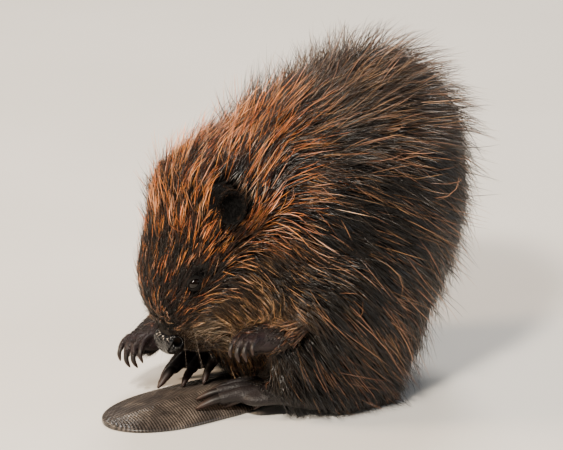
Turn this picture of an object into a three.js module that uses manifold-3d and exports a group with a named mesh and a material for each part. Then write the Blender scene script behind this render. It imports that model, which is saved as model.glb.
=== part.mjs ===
// A North American beaver as a still, life-size model. It sits hunched on its haunches with its
// head bowed, both forepaws curled in front of its mouth, and its flat tail tucked forward under
// its hind feet. The solids follow the outside of the coat.
//
// Millimetres, +Z up. The beaver heads along -Y and its left side is +X. The floor is Z = 0.

import * as THREE from "three";
import { mergeVertices } from "three/addons/utils/BufferGeometryUtils.js";
import Module from "manifold-3d";

const wasm = await Module();
wasm.setup();

// ---------------------------------------------------------------- driving sizes

const GAP = 0.35; // air left between neighbouring pieces
const DEG = Math.PI / 180;
const CENTRE = [0, -4, 0]; // the middle of the beaver's footprint, which becomes the origin

// The head's own axes: side (to the left), back (from nose tip to nape) and crown (up from the palate).
const NOSE_TIP = [0, -121, 64];
const HEAD_PITCH = 60; // degrees that the face looks down
const EYE = { back: 64, crown: 31, radius: 6.6, sunk: 3.0 };
const EAR = {
  back: 141,
  crown: 53,
  sunk: -4,
  wide: 15.5,
  tall: 17.5,
  deep: 7,
  wall: 4,
  faces: [0.75, -0.62, 0.2],
};
const NOSE_PAD = { back: 2, crown: -3, size: [17, 10, 12.5] };

const TAIL = {
  tip: [15, -196],
  root: [0, 74],
  halfWidth: 48,
  rootHalfWidth: 24,
  rim: 3.5, // thickness at the edge
  high: 12, // thickness along the middle
  rootHigh: 36,
  paddleEnd: 0.3, // share of the length that rounds off the tip
};

// Both forepaws curl round one straight line, as round a stick. Angles run from 0 at the front
// of the line to 90 on top of it and 180 at the side of the palm.
const FOREPAW = {
  left: { elbow: [82, -2, 104], wrist: [80, -52, 80], grip: [76, -77, 66], radius: 15.5, curl: 0 },
  right: { elbow: [-84, -24, 96], wrist: [-54, -92, 60], grip: [-43, -122, 37], radius: 17.5, curl: 14 },
};
const FINGER = { radius: 4.4, spacing: 8.4, fromAngle: 128 };
const FINGERS = [
  { place: -1.5, toAngle: 6, size: 0.88 },
  { place: -0.5, toAngle: -12, size: 1 },
  { place: 0.5, toAngle: -10, size: 1 },
  { place: 1.5, toAngle: 14, size: 0.86 },
];
const FORE_CLAW = { length: 14, wide: 2.7, high: 2.4 };

// Hind feet: the claw tips run from the inner toe to the outer one.
const HIND_FOOT = {
  left: {
    heel: [98, 56, 12],
    ankle: [93, 8, 15],
    ball: [68, -36, 20],
    tips: [[19, -88], [27, -106], [42, -116], [48, -90], [61, -65]],
    rise: 6, // how high the knuckles arch
  },
  right: {
    heel: [-96, 56, 12],
    ankle: [-88, 6, 16],
    ball: [-54, -40, 25],
    tips: [[-3, -80], [-11, -98], [-28, -114], [-44, -102], [-60, -80]],
    rise: 9,
  },
};
const TOE = { radius: 6.4, spacing: 9.5, sizes: [0.8, 0.9, 1.08, 1.05, 0.84] };
const HIND_CLAW = { length: 25, wide: 4.3, high: 3.2 };
const WEB_THICK = 4;

// ---------------------------------------------------------------- fields
// A field is a function of x, y, z that is negative inside, and about the distance in mm.

const turned = (degrees) => [Math.cos(degrees * DEG), Math.sin(degrees * DEG)];

// An ellipsoid with its half sizes, tipped about the X axis. A paired one lies on both sides.
function mass(at, size, tip = 0, paired = false) {
  const [c, s] = turned(tip);
  return (x, y, z) => {
    const dx = (paired ? Math.abs(x) : x) - at[0];
    const dy = (y - at[1]) * c + (z - at[2]) * s;
    const dz = (z - at[2]) * c - (y - at[1]) * s;
    const near = Math.hypot(dx / size[0], dy / size[1], dz / size[2]);
    const steep = Math.hypot(dx / size[0] ** 2, dy / size[1] ** 2, dz / size[2] ** 2);
    return steep < 1e-9 ? -Math.min(...size) : (near * (near - 1)) / steep;
  };
}

const blend = (a, b, soft) => {
  const h = Math.max(soft - Math.abs(a - b), 0) / soft;
  return Math.min(a, b) - (h * h * soft) / 4;
};

const blended = (masses, soft) => (x, y, z) =>
  masses.reduce((sum, m) => blend(sum, m(x, y, z), soft), 1e3);

const grown = (field, by) => (x, y, z) => field(x, y, z) - by;

// ---------------------------------------------------------------- the body's masses

const [HC, HS] = turned(HEAD_PITCH);
const onHead = (side, back, crown) => [
  side,
  NOSE_TIP[1] + back * HC - crown * HS,
  NOSE_TIP[2] + back * HS + crown * HC,
];
const headMass = (side, back, crown, size, paired = false) =>
  mass(onHead(side, back, crown), size, HEAD_PITCH, paired);

const SOFT = 22; // how far from a crease the blend reaches
const bodyField = blended([
  mass([0, 75, 153], [123, 105, 162], -20), // rump
  mass([0, 8, 188], [106, 100, 104]), // shoulders
  mass([0, 14, 92], [90, 98, 90]), // belly
  mass([0, -22, 115], [80, 62, 75]), // chest
  mass([80, 30, 84], [48, 78, 78], 0, true), // thighs
  mass([80, -18, 52], [30, 44, 44], 0, true), // knees
  mass([0, -46, 193], [84, 76, 76], 20), // nape
  headMass(0, 112, 10, [60, 62, 58]), // cranium
  headMass(0, 68, 12, [44, 50, 48]), // brow
  headMass(34, 88, -16, [28, 44, 38], true), // cheeks
  headMass(0, 40, -3, [31, 37, 31]), // muzzle
  headMass(15, 26, -10, [14, 21, 19], true), // lip pads
  headMass(0, 42, -26, [23, 36, 20]), // lower jaw
], SOFT);

// A place on the side of the head, given by how far back and how far up it is.
function onCheek(hand, part) {
  let side = 0;
  while (bodyField(...onHead(side, part.back, part.crown)) < 0) side += 0.25;
  return onHead(hand * (side - part.sunk), part.back, part.crown);
}

// ---------------------------------------------------------------- meshes

const vector = (p) => new THREE.Vector3(...p);
const lerp = (a, b, t) => a + (b - a) * t;
const between = (p, q, t) => p.map((v, k) => lerp(v, q[k], t));

// A closed mesh with its faces turned outwards, whichever way round its points were given.
function closedGeometry(points, triangles) {
  let volume = 0;
  for (let i = 0; i < triangles.length; i += 3) {
    const [a, b, c] = [0, 1, 2].map((k) => vector(points[triangles[i + k]]));
    volume += a.dot(b.cross(c));
  }
  const geometry = new THREE.BufferGeometry();
  geometry.setAttribute("position", new THREE.Float32BufferAttribute(points.flat(), 3));
  geometry.setIndex(volume < 0 ? triangles.toReversed() : triangles);
  return geometry;
}

// Faces over rings of points, closed by a first and a last point.
function skinOver(first, rings, last) {
  const points = [first, ...rings.flat(), last];
  const sides = rings[0].length;
  const faces = [];
  for (let i = 0; i < rings.length; i++) {
    for (let j = 0; j < sides; j++) {
      const a = 1 + i * sides + j;
      const b = 1 + i * sides + ((j + 1) % sides);
      if (i === 0) faces.push(0, b, a);
      if (i === rings.length - 1) faces.push(points.length - 1, a, b);
      else faces.push(a, b, b + sides, a, b + sides, a + sides);
    }
  }
  return closedGeometry(points, faces);
}

// A closed mesh of a field's surface over a grid: one point in each grid cell that it crosses.
function surfaceOf(field, axes) {
  const counts = axes.map((axis) => axis.length);
  const keyOf = ([i, j, k]) => (i * counts[1] + j) * counts[2] + k;
  const placeOf = (node) => node.map((n, a) => axes[a][n]);
  const nodes = [];
  for (let i = 0; i < counts[0]; i++) {
    for (let j = 0; j < counts[1]; j++) {
      for (let k = 0; k < counts[2]; k++) nodes.push([i, j, k]);
    }
  }
  const values = nodes.map((node) => field(...placeOf(node)));
  const valueAt = (node) => values[keyOf(node)];

  // The middle of the places where the surface crosses the cell's edges, moved onto the surface.
  const cellMiddle = (cell) => {
    const crossings = [];
    for (let edge = 0; edge < 12; edge++) {
      const axis = edge >> 2;
      const low = cell.slice();
      low[(axis + 1) % 3] += edge & 1;
      low[(axis + 2) % 3] += (edge >> 1) & 1;
      const high = low.map((n, a) => n + (a === axis ? 1 : 0));
      const [a, b] = [valueAt(low), valueAt(high)];
      if (a < 0 !== b < 0) crossings.push(between(placeOf(low), placeOf(high), a / (a - b)));
    }
    let at = middleOf(crossings);
    for (let pass = 0; pass < 3; pass++) {
      const here = field(...at);
      const slope = [0, 1, 2].map((a) => field(...at.map((v, k) => (k === a ? v + 0.5 : v))) - here);
      const steep = Math.max(Math.hypot(...slope) / 0.5, 0.4);
      at = at.map((v, k) => v - (here * slope[k]) / 0.5 / steep ** 2);
    }
    return at;
  };

  const points = [];
  const numberOf = new Map();
  const pointIn = (cell) => {
    const key = keyOf(cell);
    if (!numberOf.has(key)) numberOf.set(key, points.push(cellMiddle(cell)) - 1);
    return numberOf.get(key);
  };
  const faces = [];
  for (const node of nodes) {
    for (let axis = 0; axis < 3; axis++) {
      if (node[axis] + 1 === counts[axis]) continue;
      const inside = valueAt(node) < 0;
      if (inside === valueAt(node.map((n, a) => n + (a === axis ? 1 : 0))) < 0) continue;
      const round = [[1, 1], [0, 1], [0, 0], [1, 0]].map(([b, c]) => {
        const cell = node.slice();
        cell[(axis + 1) % 3] -= b;
        cell[(axis + 2) % 3] -= c;
        return pointIn(cell);
      });
      const [p, q, r, t] = inside ? round : round.toReversed();
      faces.push(p, q, r, p, r, t);
    }
  }
  return closedGeometry(points, faces);
}

// Grid lines from a first value, with a step that lasts until each stop.
function gridLines(first, ...stretches) {
  const lines = [first];
  for (const [stop, step] of stretches) {
    while (lines.at(-1) < stop) lines.push(lines.at(-1) + step);
  }
  return lines;
}

const middleOf = (ring) => ring[0].map((_, k) => ring.reduce((sum, p) => sum + p[k], 0) / ring.length);
const loft = (rings) => skinOver(middleOf(rings[0]), rings, middleOf(rings.at(-1)));

const readOff = (values, t) => {
  const place = t * (values.length - 1);
  const i = Math.min(Math.floor(place), values.length - 2);
  return lerp(values[i], values[i + 1], place - i);
};

// A limb along part of a smooth path. Its half width and half height are lists read along it.
function limb(path, wide, high, { steps = 5, sides = 8, up = [0, 0, 1], from = 0, to = 1 } = {}) {
  const curve = new THREE.CatmullRomCurve3(path.map(vector));
  const rings = [];
  for (let i = 0; i <= steps; i++) {
    const share = i / steps;
    const at = curve.getPointAt(lerp(from, to, share));
    const ahead = curve.getTangentAt(lerp(from, to, share));
    const side = vector(up).cross(ahead).normalize();
    const top = ahead.clone().cross(side);
    const ring = [];
    for (let j = 0; j < sides; j++) {
      const turn = (2 * Math.PI * (j + 0.5)) / sides;
      const p = at.clone().addScaledVector(side, Math.cos(turn) * readOff(wide, share));
      ring.push(p.addScaledVector(top, Math.sin(turn) * readOff(high, share)).toArray());
    }
    rings.push(ring);
  }
  return loft(rings);
}

// ---------------------------------------------------------------- joins and cuts

function solid(shape) {
  if (shape instanceof wasm.Manifold) return shape;
  const bare = shape.index ? shape.toNonIndexed() : shape.clone();
  const position = new THREE.BufferGeometry();
  position.setAttribute("position", bare.getAttribute("position"));
  const merged = mergeVertices(position, 1e-3);
  return new wasm.Manifold(
    new wasm.Mesh({
      numProp: 3,
      vertProperties: merged.attributes.position.array,
      triVerts: new Uint32Array(merged.index.array),
    }),
  );
}

const join = (...shapes) => shapes.map(solid).reduce((a, b) => a.add(b));
const cut = (shape, ...tools) => tools.reduce((a, b) => a.subtract(solid(b)), solid(shape));
const keep = (shape, ...zones) => zones.reduce((a, b) => a.intersect(solid(b)), solid(shape));
const mirrored = (shape) => solid(shape).mirror([1, 0, 0]);

// The largest of the bodies that a cut leaves.
const largest = (shape) =>
  solid(shape).decompose().reduce((a, b) => (b.volume() > a.volume() ? b : a));

function geometryOf(shape) {
  const mesh = largest(shape).getMesh();
  const geometry = new THREE.BufferGeometry();
  const points = new Float32Array(mesh.numVert * 3);
  for (let i = 0; i < mesh.numVert; i++) {
    points.set(mesh.vertProperties.subarray(i * mesh.numProp, i * mesh.numProp + 3), i * 3);
  }
  geometry.setAttribute("position", new THREE.BufferAttribute(points, 3));
  geometry.setIndex(new THREE.BufferAttribute(mesh.triVerts, 1));
  return geometry.toNonIndexed();
}

const ROOM = 1000; // larger than the whole beaver

// The half of space beyond a plane, on the side that the normal points to.
function beyond({ at, way }, start = GAP / 2) {
  const box = new THREE.BoxGeometry(ROOM, ROOM, ROOM).translate(0, 0, ROOM / 2 + start);
  const turn = new THREE.Quaternion().setFromUnitVectors(new THREE.Vector3(0, 0, 1), vector(way).normalize());
  return box.applyQuaternion(turn).translate(...at);
}
const flipped = ({ at, way }) => ({ at, way: way.map((v) => -v) });
const onSide = (hand, { at, way }) =>
  ({ at: [hand * at[0], at[1], at[2]], way: [hand * way[0], way[1], way[2]] });
const aboveFloor = () => beyond({ at: [0, 0, 0], way: [0, 0, 1] }, 0);

// ---------------------------------------------------------------- tail

// How wide the tail is to each side, by the share of its length from the tip.
function tailHalfWidth(share) {
  const tip = Math.max(0, 1 - share / TAIL.paddleEnd);
  const paddle = Math.max(0.04, Math.sqrt(1 - tip ** 2.2));
  return paddle * lerp(TAIL.halfWidth, TAIL.rootHalfWidth, THREE.MathUtils.smoothstep(share, 0.42, 0.9));
}

// How thick the tail is, by the share of its length and the share of its half width.
function tailHigh(share, out) {
  const middle = lerp(TAIL.rim + 2, TAIL.high, Math.min(1, share / 0.3));
  const root = THREE.MathUtils.smoothstep(share, 0.5, 1);
  const rim = lerp(TAIL.rim, TAIL.rootHigh * 0.5, root);
  return lerp(rim, lerp(middle, TAIL.rootHigh, root), 1 - Math.abs(out) ** 2.2);
}

function tailShape(by = 0) {
  const STEPS = 20;
  const ACROSS = 8;
  const rings = [];
  for (let i = 0; i <= STEPS; i++) {
    const share = (i / STEPS) ** 1.5;
    const x = lerp(TAIL.tip[0], TAIL.root[0], share);
    const y = lerp(TAIL.tip[1] - by, TAIL.root[1] + by, share);
    const half = tailHalfWidth(share) + by;
    const top = [];
    for (let j = 0; j <= ACROSS; j++) {
      const out = (2 * j) / ACROSS - 1;
      top.push([x + out * half, y, tailHigh(share, out) + by]);
    }
    rings.push([...top, [x + half, y, 0], [x - half, y, 0]]);
  }
  return loft(rings);
}

// The height of the tail's upper side at a place, or of the floor beside it.
function tailTop(x, y) {
  const share = (y - TAIL.tip[1]) / (TAIL.root[1] - TAIL.tip[1]);
  const out = (x - lerp(TAIL.tip[0], TAIL.root[0], share)) / tailHalfWidth(share);
  return Math.abs(out) > 1 ? 0 : tailHigh(share, out);
}

// ---------------------------------------------------------------- digits

// A finger or toe with its claw: flesh first, then a small gap, then the claw to the path's end.
function digit(path, radii, kind, size, up, by = 0) {
  const length = new THREE.CatmullRomCurve3(path.map(vector)).getLength();
  const clawFrom = 1 - (kind.length * size) / length;
  const r = radii.map((v) => v * size + by);
  const claw = { steps: 4, sides: 6, up, from: clawFrom + GAP / length };
  const [wide, high] = [kind.wide * size, kind.high * size];
  return {
    flesh: limb(path, r, r, { up, sides: 7, to: clawFrom }),
    claw: limb(path, [wide, wide * 0.9, 0.8], [high, high * 0.85, 0.7], claw),
  };
}

const gripWay = vector(FOREPAW.left.grip).sub(vector(FOREPAW.right.grip)).normalize();
const gripBack = new THREE.Vector3(0, 0, 1).cross(gripWay).normalize();
const gripUp = gripWay.clone().cross(gripBack);

// A place round a forepaw's grip line: a distance along it, an angle round it, a share of the radius.
function roundGrip({ grip, radius }, offset, angle, share = 1) {
  const [c, s] = turned(angle);
  const p = vector(grip).addScaledVector(gripWay, offset);
  p.addScaledVector(gripBack, -c * radius * share).addScaledVector(gripUp, s * radius * share);
  return p.toArray();
}

function finger(paw, hand, { place, toAngle, size }, by) {
  const arc = [0, 0.3, 0.55, 0.8, 1].map((t) =>
    roundGrip(paw, hand * place * FINGER.spacing * lerp(0.85, 1.05, t),
      lerp(FINGER.fromAngle, toAngle - paw.curl, t), t === 1 ? 0.93 : 1));
  const radii = [1.1, 1, 0.95, 0.75].map((k) => k * FINGER.radius);
  return digit(arc, radii, FORE_CLAW, size, gripBack.clone().negate().toArray(), by);
}

function toePath(foot, i) {
  const hand = Math.sign(foot.heel[0]);
  const root = [foot.ball[0] + hand * (i - 2) * TOE.spacing, foot.ball[1] + Math.abs(i - 2) * 2, foot.ball[2] - 2];
  const tip = [...foot.tips[i], Math.max(4, tailTop(...foot.tips[i])) + 1.6];
  const arched = (t, rise) => between(root, tip, t).map((v, k) => (k === 2 ? v + rise : v));
  return [root, arched(0.4, foot.rise), arched(0.7, foot.rise * 0.9), tip];
}

function toe(foot, i, by) {
  const radii = [1, 1, 0.95, 0.8].map((k) => k * TOE.radius);
  return digit(toePath(foot, i), radii, HIND_CLAW, TOE.sizes[i], [0, 0, 1], by);
}

function web(foot, i, by) {
  const inner = new THREE.CatmullRomCurve3(toePath(foot, i).map(vector));
  const outer = new THREE.CatmullRomCurve3(toePath(foot, i + 1).map(vector));
  const half = WEB_THICK / 2 + by;
  return loft([0, 0.2, 0.4, 0.58].map((t) => {
    const [a, b] = [inner.getPointAt(t).toArray(), outer.getPointAt(t).toArray()];
    const shifted = ([x, y, z], up) => [x, y, z - 1 + up];
    return [shifted(a, half), shifted(b, half), shifted(b, -half), shifted(a, -half)];
  }));
}

// A hind foot without its claws: sole, toes and the webs between them.
function footShape(name, by) {
  const foot = HIND_FOOT[name];
  const fore = between(foot.ball, [...foot.tips[2], 12], 0.3);
  const wide = [12, 19, 25, 20].map((v) => v + by);
  const high = [14, 17, 14, 8].map((v) => v + by);
  const sole = limb([foot.heel, foot.ankle, foot.ball, fore], wide, high, { steps: 10, sides: 14 });
  const toes = TOE.sizes.map((_, i) => toe(foot, i, by).flesh);
  const webs = [0, 1, 2, 3].map((i) => web(foot, i, by));
  return keep(join(sole, ...toes, ...webs), aboveFloor());
}

// ---------------------------------------------------------------- where the body is parted

const HEAD_CUT = { at: [0, -62, 196], way: [0, 0.75, 0.66] }; // towards the trunk
const NECK_CUT = { at: [0, -18, 190], way: [0, 0.97, 0.24] }; // towards the rump
const THROAT_CUT = { at: onHead(0, 60, -46), way: [0, -HS, HC] }; // towards the crown
const HAUNCH_TOP_CUT = { at: [84, 40, 158], way: [0.6, -0.1, -0.79] }; // out of the trunk
const HAUNCH_INNER_CUT = { at: [36, 0, 0], way: [1, 0, 0] };

const fore = (start) => keep(beyond(flipped(NECK_CUT), start), beyond(THROAT_CUT, start));
const flank = (hand, start) =>
  keep(beyond(onSide(hand, HAUNCH_TOP_CUT), start), beyond(onSide(hand, HAUNCH_INNER_CUT), start));

// ---------------------------------------------------------------- the model

const FINISHES = {
  coat: { color: "#4a3022", roughness: 0.8 },
  crownCoat: { color: "#7a4424", roughness: 0.8 },
  bareSkin: { color: "#2a2422", roughness: 0.5 },
  scale: { color: "#4a423c", roughness: 0.6 },
  claw: { color: "#3a2a24", roughness: 0.35 },
  eye: { color: "#0a0808", roughness: 0.05 },
};

const beaver = new THREE.Group();

function place(name, shape, finish) {
  const mesh = new THREE.Mesh(
    geometryOf(shape).translate(...CENTRE.map((v) => -v)),
    new THREE.MeshStandardMaterial({ ...FINISHES[finish], metalness: 0 }),
  );
  mesh.name = name;
  beaver.add(mesh);
}

const HANDS = [["left", 1], ["right", -1]];
const grid = [
  gridLines(-145, [-70, 19], [70, 13], [135, 19]),
  gridLines(-150, [-62, 11], [205, 22]),
  gridLines(-20, [330, 17.5]),
];
const body = keep(surfaceOf(bodyField, grid), aboveFloor());
const bodyGrown = join(body, surfaceOf(grown(bodyField, GAP), grid));
const tailGrown = solid(tailShape(GAP));
const feetGrown = HANDS.map(([name]) => footShape(name, GAP));
const behind = cut(body, fore(-GAP / 2), tailGrown, ...feetGrown);
place("trunk", cut(behind, flank(1, -GAP / 2), flank(-1, -GAP / 2)), "coat");
place("neck", keep(body, fore(GAP / 2), beyond(HEAD_CUT)), "crownCoat");
place("tail", keep(tailShape(), aboveFloor()), "scale");

const ball = (at, radius) => new THREE.SphereGeometry(radius, 12, 8).translate(...at);
function nosePad(by) {
  const pad = new THREE.SphereGeometry(1, 12, 8).scale(...NOSE_PAD.size.map((v) => v + by));
  return pad.rotateX(HEAD_PITCH * DEG).translate(...onHead(0, NOSE_PAD.back, NOSE_PAD.crown));
}
const sockets = HANDS.map(([, hand]) => ball(onCheek(hand, EYE), EYE.radius + GAP));
const face = keep(body, fore(GAP / 2), beyond(flipped(HEAD_CUT)));
place("head", cut(face, nosePad(GAP), ...sockets), "crownCoat");
place("nose", nosePad(0), "bareSkin");

// A round cup, open towards the side that the ear faces.
function ear(hand) {
  const cup = [[0, 0], [0.5, 0.1], [0.86, 0.45], [1, 1]];
  const outside = cup.map(([r, h]) => new THREE.Vector2(r * EAR.wide, h * EAR.deep - EAR.wall));
  const inside = cup.map(([r, h]) => new THREE.Vector2(r * (EAR.wide - 1), h * EAR.deep));
  const bowl = new THREE.LatheGeometry([...outside, ...inside.reverse()], 14);
  bowl.scale(1, 1, EAR.tall / EAR.wide);
  const way = new THREE.Vector3(hand * EAR.faces[0], EAR.faces[1], EAR.faces[2]).normalize();
  bowl.applyQuaternion(new THREE.Quaternion().setFromUnitVectors(new THREE.Vector3(0, 1, 0), way));
  return bowl.translate(...onCheek(hand, EAR));
}

for (const [name, hand] of HANDS) {
  place(`eye_${name}`, ball(onCheek(hand, EYE), EYE.radius), "eye");
  place(`ear_${name}`, cut(ear(hand), bodyGrown), "bareSkin");

  place(`hind_foot_${name}`, cut(footShape(name, 0), tailGrown), "bareSkin");
  place(`haunch_${name}`, keep(behind, flank(hand, GAP / 2)), "coat");
  TOE.sizes.forEach((_, i) => {
    const claw = toe(HIND_FOOT[name], i, 0).claw;
    place(`hind_claw_${name}_${i + 1}`, keep(cut(claw, tailGrown, ...feetGrown), aboveFloor()), "claw");
  });

  const paw = FOREPAW[name];
  const { elbow, wrist } = paw;
  const palm = roundGrip(paw, 0, FINGER.fromAngle + 8);
  const wristCut = { at: between(wrist, palm, 0.15), way: palm.map((v, k) => v - wrist[k]) };
  const back = limb([wrist, between(wrist, palm, 0.5), palm, roundGrip(paw, 0, 96)],
    [12, 15, 17, 15], [10, 10, 7, 5], { sides: 12 });
  const fingers = FINGERS.map((f) => finger(paw, hand, f, 0));
  const whole = keep(join(back, ...fingers.map((f) => f.flesh)), beyond(wristCut));
  place(`forepaw_${name}`, cut(whole, bodyGrown), "bareSkin");
  const forearm = limb([elbow, between(elbow, wrist, 0.5), wrist, palm], [24, 22, 15, 14], [24, 20, 13, 10],
    { sides: 14 });
  place(`foreleg_${name}`, cut(keep(forearm, beyond(flipped(wristCut))), bodyGrown), "coat");
  const fleshGrown = join(...FINGERS.map((f) => finger(paw, hand, f, GAP).flesh));
  fingers.forEach((f, i) => place(`fore_claw_${name}_${i + 1}`, cut(f.claw, fleshGrown), "claw"));
}

export default beaver;
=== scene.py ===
"""A still, life-size model of a North American beaver, as a museum shows.

It sits hunched on its haunches with its head bowed, both forepaws curled in front of its mouth
and its flat tail tucked forward under its hind feet. Sizes are in millimetres in the beaver's own
axes: +Z up, heading along -Y, its left side on +X. SHIFT and MM take them to the frame's metres.
"""

import math

import bpy
import numpy as np
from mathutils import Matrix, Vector
from mathutils.kdtree import KDTree


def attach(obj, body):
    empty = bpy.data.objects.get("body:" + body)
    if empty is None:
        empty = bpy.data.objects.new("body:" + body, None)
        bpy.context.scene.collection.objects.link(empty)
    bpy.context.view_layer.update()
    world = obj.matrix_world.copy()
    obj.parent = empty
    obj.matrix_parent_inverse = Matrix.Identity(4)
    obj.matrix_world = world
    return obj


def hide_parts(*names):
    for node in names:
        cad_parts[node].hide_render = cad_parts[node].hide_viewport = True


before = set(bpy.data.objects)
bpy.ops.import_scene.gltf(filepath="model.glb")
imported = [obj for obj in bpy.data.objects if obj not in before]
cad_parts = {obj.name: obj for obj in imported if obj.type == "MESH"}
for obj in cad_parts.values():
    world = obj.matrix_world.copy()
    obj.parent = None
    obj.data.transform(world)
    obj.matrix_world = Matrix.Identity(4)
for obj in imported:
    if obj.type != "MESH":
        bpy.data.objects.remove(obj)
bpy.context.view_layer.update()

MM = 0.001
SHIFT = np.array([0.0, 4.0, 0.0])
SIDES = (("left", 1), ("right", -1))
rng = np.random.default_rng(20261123)

# ---------------------------------------------------------------- small tools


def lerp(a, b, t):
    return a + (b - a) * t


def ramp(value, low, high):
    """0 at low and 1 at high, with smooth ends; high may be the smaller one."""
    t = np.clip((value - low) / (high - low), 0.0, 1.0)
    return t * t * (3 - 2 * t)


def unit(v):
    return v / np.maximum(np.linalg.norm(v, axis=-1, keepdims=True), 1e-9)


def linear(hex_colour):
    """An sRGB hex colour as the linear RGBA that a shader takes."""
    parts = [int(hex_colour[i:i + 2], 16) / 255 for i in (1, 3, 5)]
    return [p / 12.92 if p <= 0.04045 else ((p + 0.055) / 1.055) ** 2.4 for p in parts] + [1.0]


NOISE_TABLE = np.random.default_rng(7).uniform(-1, 1, (32, 32, 32, 3))


def drift(p, size, channel=0):
    """Smooth noise from -1 to 1 that changes over about size mm."""
    q = p / size + 100.37
    cell = np.floor(q).astype(int)
    part = q - cell
    part = part * part * (3 - 2 * part)
    total = np.zeros(len(p))
    for corner in np.ndindex(2, 2, 2):
        index = (cell + corner) % 32
        weight = np.prod(np.where(np.array(corner) == 1, part, 1 - part), axis=1)
        total += weight * NOISE_TABLE[index[:, 0], index[:, 1], index[:, 2], channel]
    return total


def drift_vector(p, size):
    return np.stack([drift(p, size, channel) for channel in range(3)], axis=1)


def smooth_path(path, count):
    """Points at even distances along a centripetal Catmull-Rom curve through the path."""
    p = np.array(path, float)
    p = np.vstack([2 * p[0] - p[1], p, 2 * p[-1] - p[-2]])
    dense = []
    for i in range(1, len(p) - 2):
        d0, d1, d2 = [math.sqrt(np.linalg.norm(p[j + 1] - p[j])) for j in (i - 1, i, i + 1)]
        t1 = d1 * ((p[i] - p[i - 1]) / d0 - (p[i + 1] - p[i - 1]) / (d0 + d1) + (p[i + 1] - p[i]) / d1)
        t2 = d1 * ((p[i + 1] - p[i]) / d1 - (p[i + 2] - p[i]) / (d1 + d2) + (p[i + 2] - p[i + 1]) / d2)
        t = np.linspace(0, 1, 24, endpoint=False)[:, None]
        a, b = p[i], p[i + 1]
        dense.append(a + t1 * t + (3 * (b - a) - 2 * t1 - t2) * t ** 2 + (2 * (a - b) + t1 + t2) * t ** 3)
    dense = np.vstack([*dense, p[-2:-1]])
    run = np.concatenate([[0], np.cumsum(np.linalg.norm(np.diff(dense, axis=0), axis=1))])
    return np.stack([np.interp(np.linspace(0, run[-1], count), run, dense[:, k]) for k in range(3)], axis=1)


def path_length(line):
    return float(np.linalg.norm(np.diff(line, axis=0), axis=1).sum())


def spread(values, count):
    """A short list of sizes read off at count even places."""
    return np.interp(np.linspace(0, 1, count), np.linspace(0, 1, len(values)), values)


# ---------------------------------------------------------------- the beaver's sizes

NOSE_TIP = np.array([0.0, -121.0, 64.0])
HEAD_PITCH = math.radians(60)
HC, HS = math.cos(HEAD_PITCH), math.sin(HEAD_PITCH)
BACK_WAY = np.array([0, HC, HS])  # from the nose to the nape
CROWN_WAY = np.array([0, -HS, HC])  # from the palate to the crown
EYE = {"back": 62, "crown": 31, "radius": 6.6, "sunk": 3.0}
EAR = {"back": 140, "crown": 46, "sunk": -4, "wide": 14, "tall": 16, "deep": 7,
       "faces": (0.72, -0.62, 0.3)}
EAR_SET = {1: np.array([-4, 0, 0]), -1: np.array([12, 4, -9])}  # how far each is sunk into the fur
EAR_WALL, EAR_RIM = 1.6, 1.7  # half the thickness of its cup, and the radius of its rolled rim
EAR_CLEAR, EYE_CLEAR = 13.5, 5.8  # how near the coat comes to the middle of an ear and of an eye
NOSE_PAD = {"back": 1, "crown": -2.5, "size": (17, 12, 12.5)}
PAD_CLEAR = (18.5, 15.5, 15)  # half sizes of the bare place round the nose pad

TAIL_TIP, TAIL_ROOT = (15, -196), (0, 74)
TAIL_HALF, TAIL_ROOT_HALF = 48, 24
TAIL_RIM, TAIL_HIGH, TAIL_ROOT_HIGH = 3.5, 12, 36

FOREPAW = {
    "left": {"elbow": (82, -2, 104), "wrist": (80, -52, 80), "grip": (76, -77, 66),
             "radius": 15.5, "curl": 0},
    "right": {"elbow": (-84, -24, 96), "wrist": (-54, -92, 60), "grip": (-43, -122, 37),
              "radius": 17.5, "curl": 14},
}
FINGER_RADIUS, FINGER_SPACING, FINGER_FROM = 4.4, 8.4, 128
FINGERS = ((-1.5, 6, 0.88), (-0.5, -12, 1.0), (0.5, -10, 1.0), (1.5, 14, 0.86))  # place, angle, size
FORE_CLAW = {"length": 14, "wide": 2.7, "high": 2.4}

HIND_FOOT = {
    "left": {"heel": (98, 56, 12), "ankle": (93, 8, 15), "ball": (68, -36, 20), "rise": 6,
             "tips": ((19, -88), (27, -106), (42, -116), (48, -90), (61, -65))},
    "right": {"heel": (-96, 56, 12), "ankle": (-88, 6, 16), "ball": (-54, -40, 25), "rise": 9,
              "tips": ((-3, -80), (-11, -98), (-28, -114), (-44, -102), (-60, -80))},
}
TOE_RADIUS, TOE_SPACING = 6.4, 9.5
TOE_SIZES = (0.8, 0.9, 1.08, 1.05, 0.84)
HIND_CLAW = {"length": 25, "wide": 4.8, "high": 3.9}
CLAW_ROOT = 3  # how far a claw starts inside its digit
WHISKERS_A_SIDE = 15

# ---------------------------------------------------------------- camera, lights and world

CAMERA_AT = (3.968, -2.567, 1.783)
LOOKS_AT = (0.0025, 0.0074, 0.1556)


def aim(thing, target):
    thing.rotation_euler = (Vector(target) - thing.location).to_track_quat("-Z", "Y").to_euler()


camera = bpy.data.objects.new("camera", bpy.data.cameras.new("camera"))
bpy.context.scene.collection.objects.link(camera)
camera.location = CAMERA_AT
camera.data.lens = 343.8
camera.data.sensor_width = 36
camera.data.clip_end = 50
aim(camera, LOOKS_AT)
bpy.context.scene.camera = camera


def softbox(name, at, size, watts, colour):
    light = bpy.data.objects.new(name, bpy.data.lights.new(name, "AREA"))
    bpy.context.scene.collection.objects.link(light)
    light.location = at
    light.data.shape = "DISK"
    light.data.size = size
    light.data.energy = watts
    light.data.color = linear(colour)[:3]
    aim(light, (0, 0, 0.15))


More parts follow.
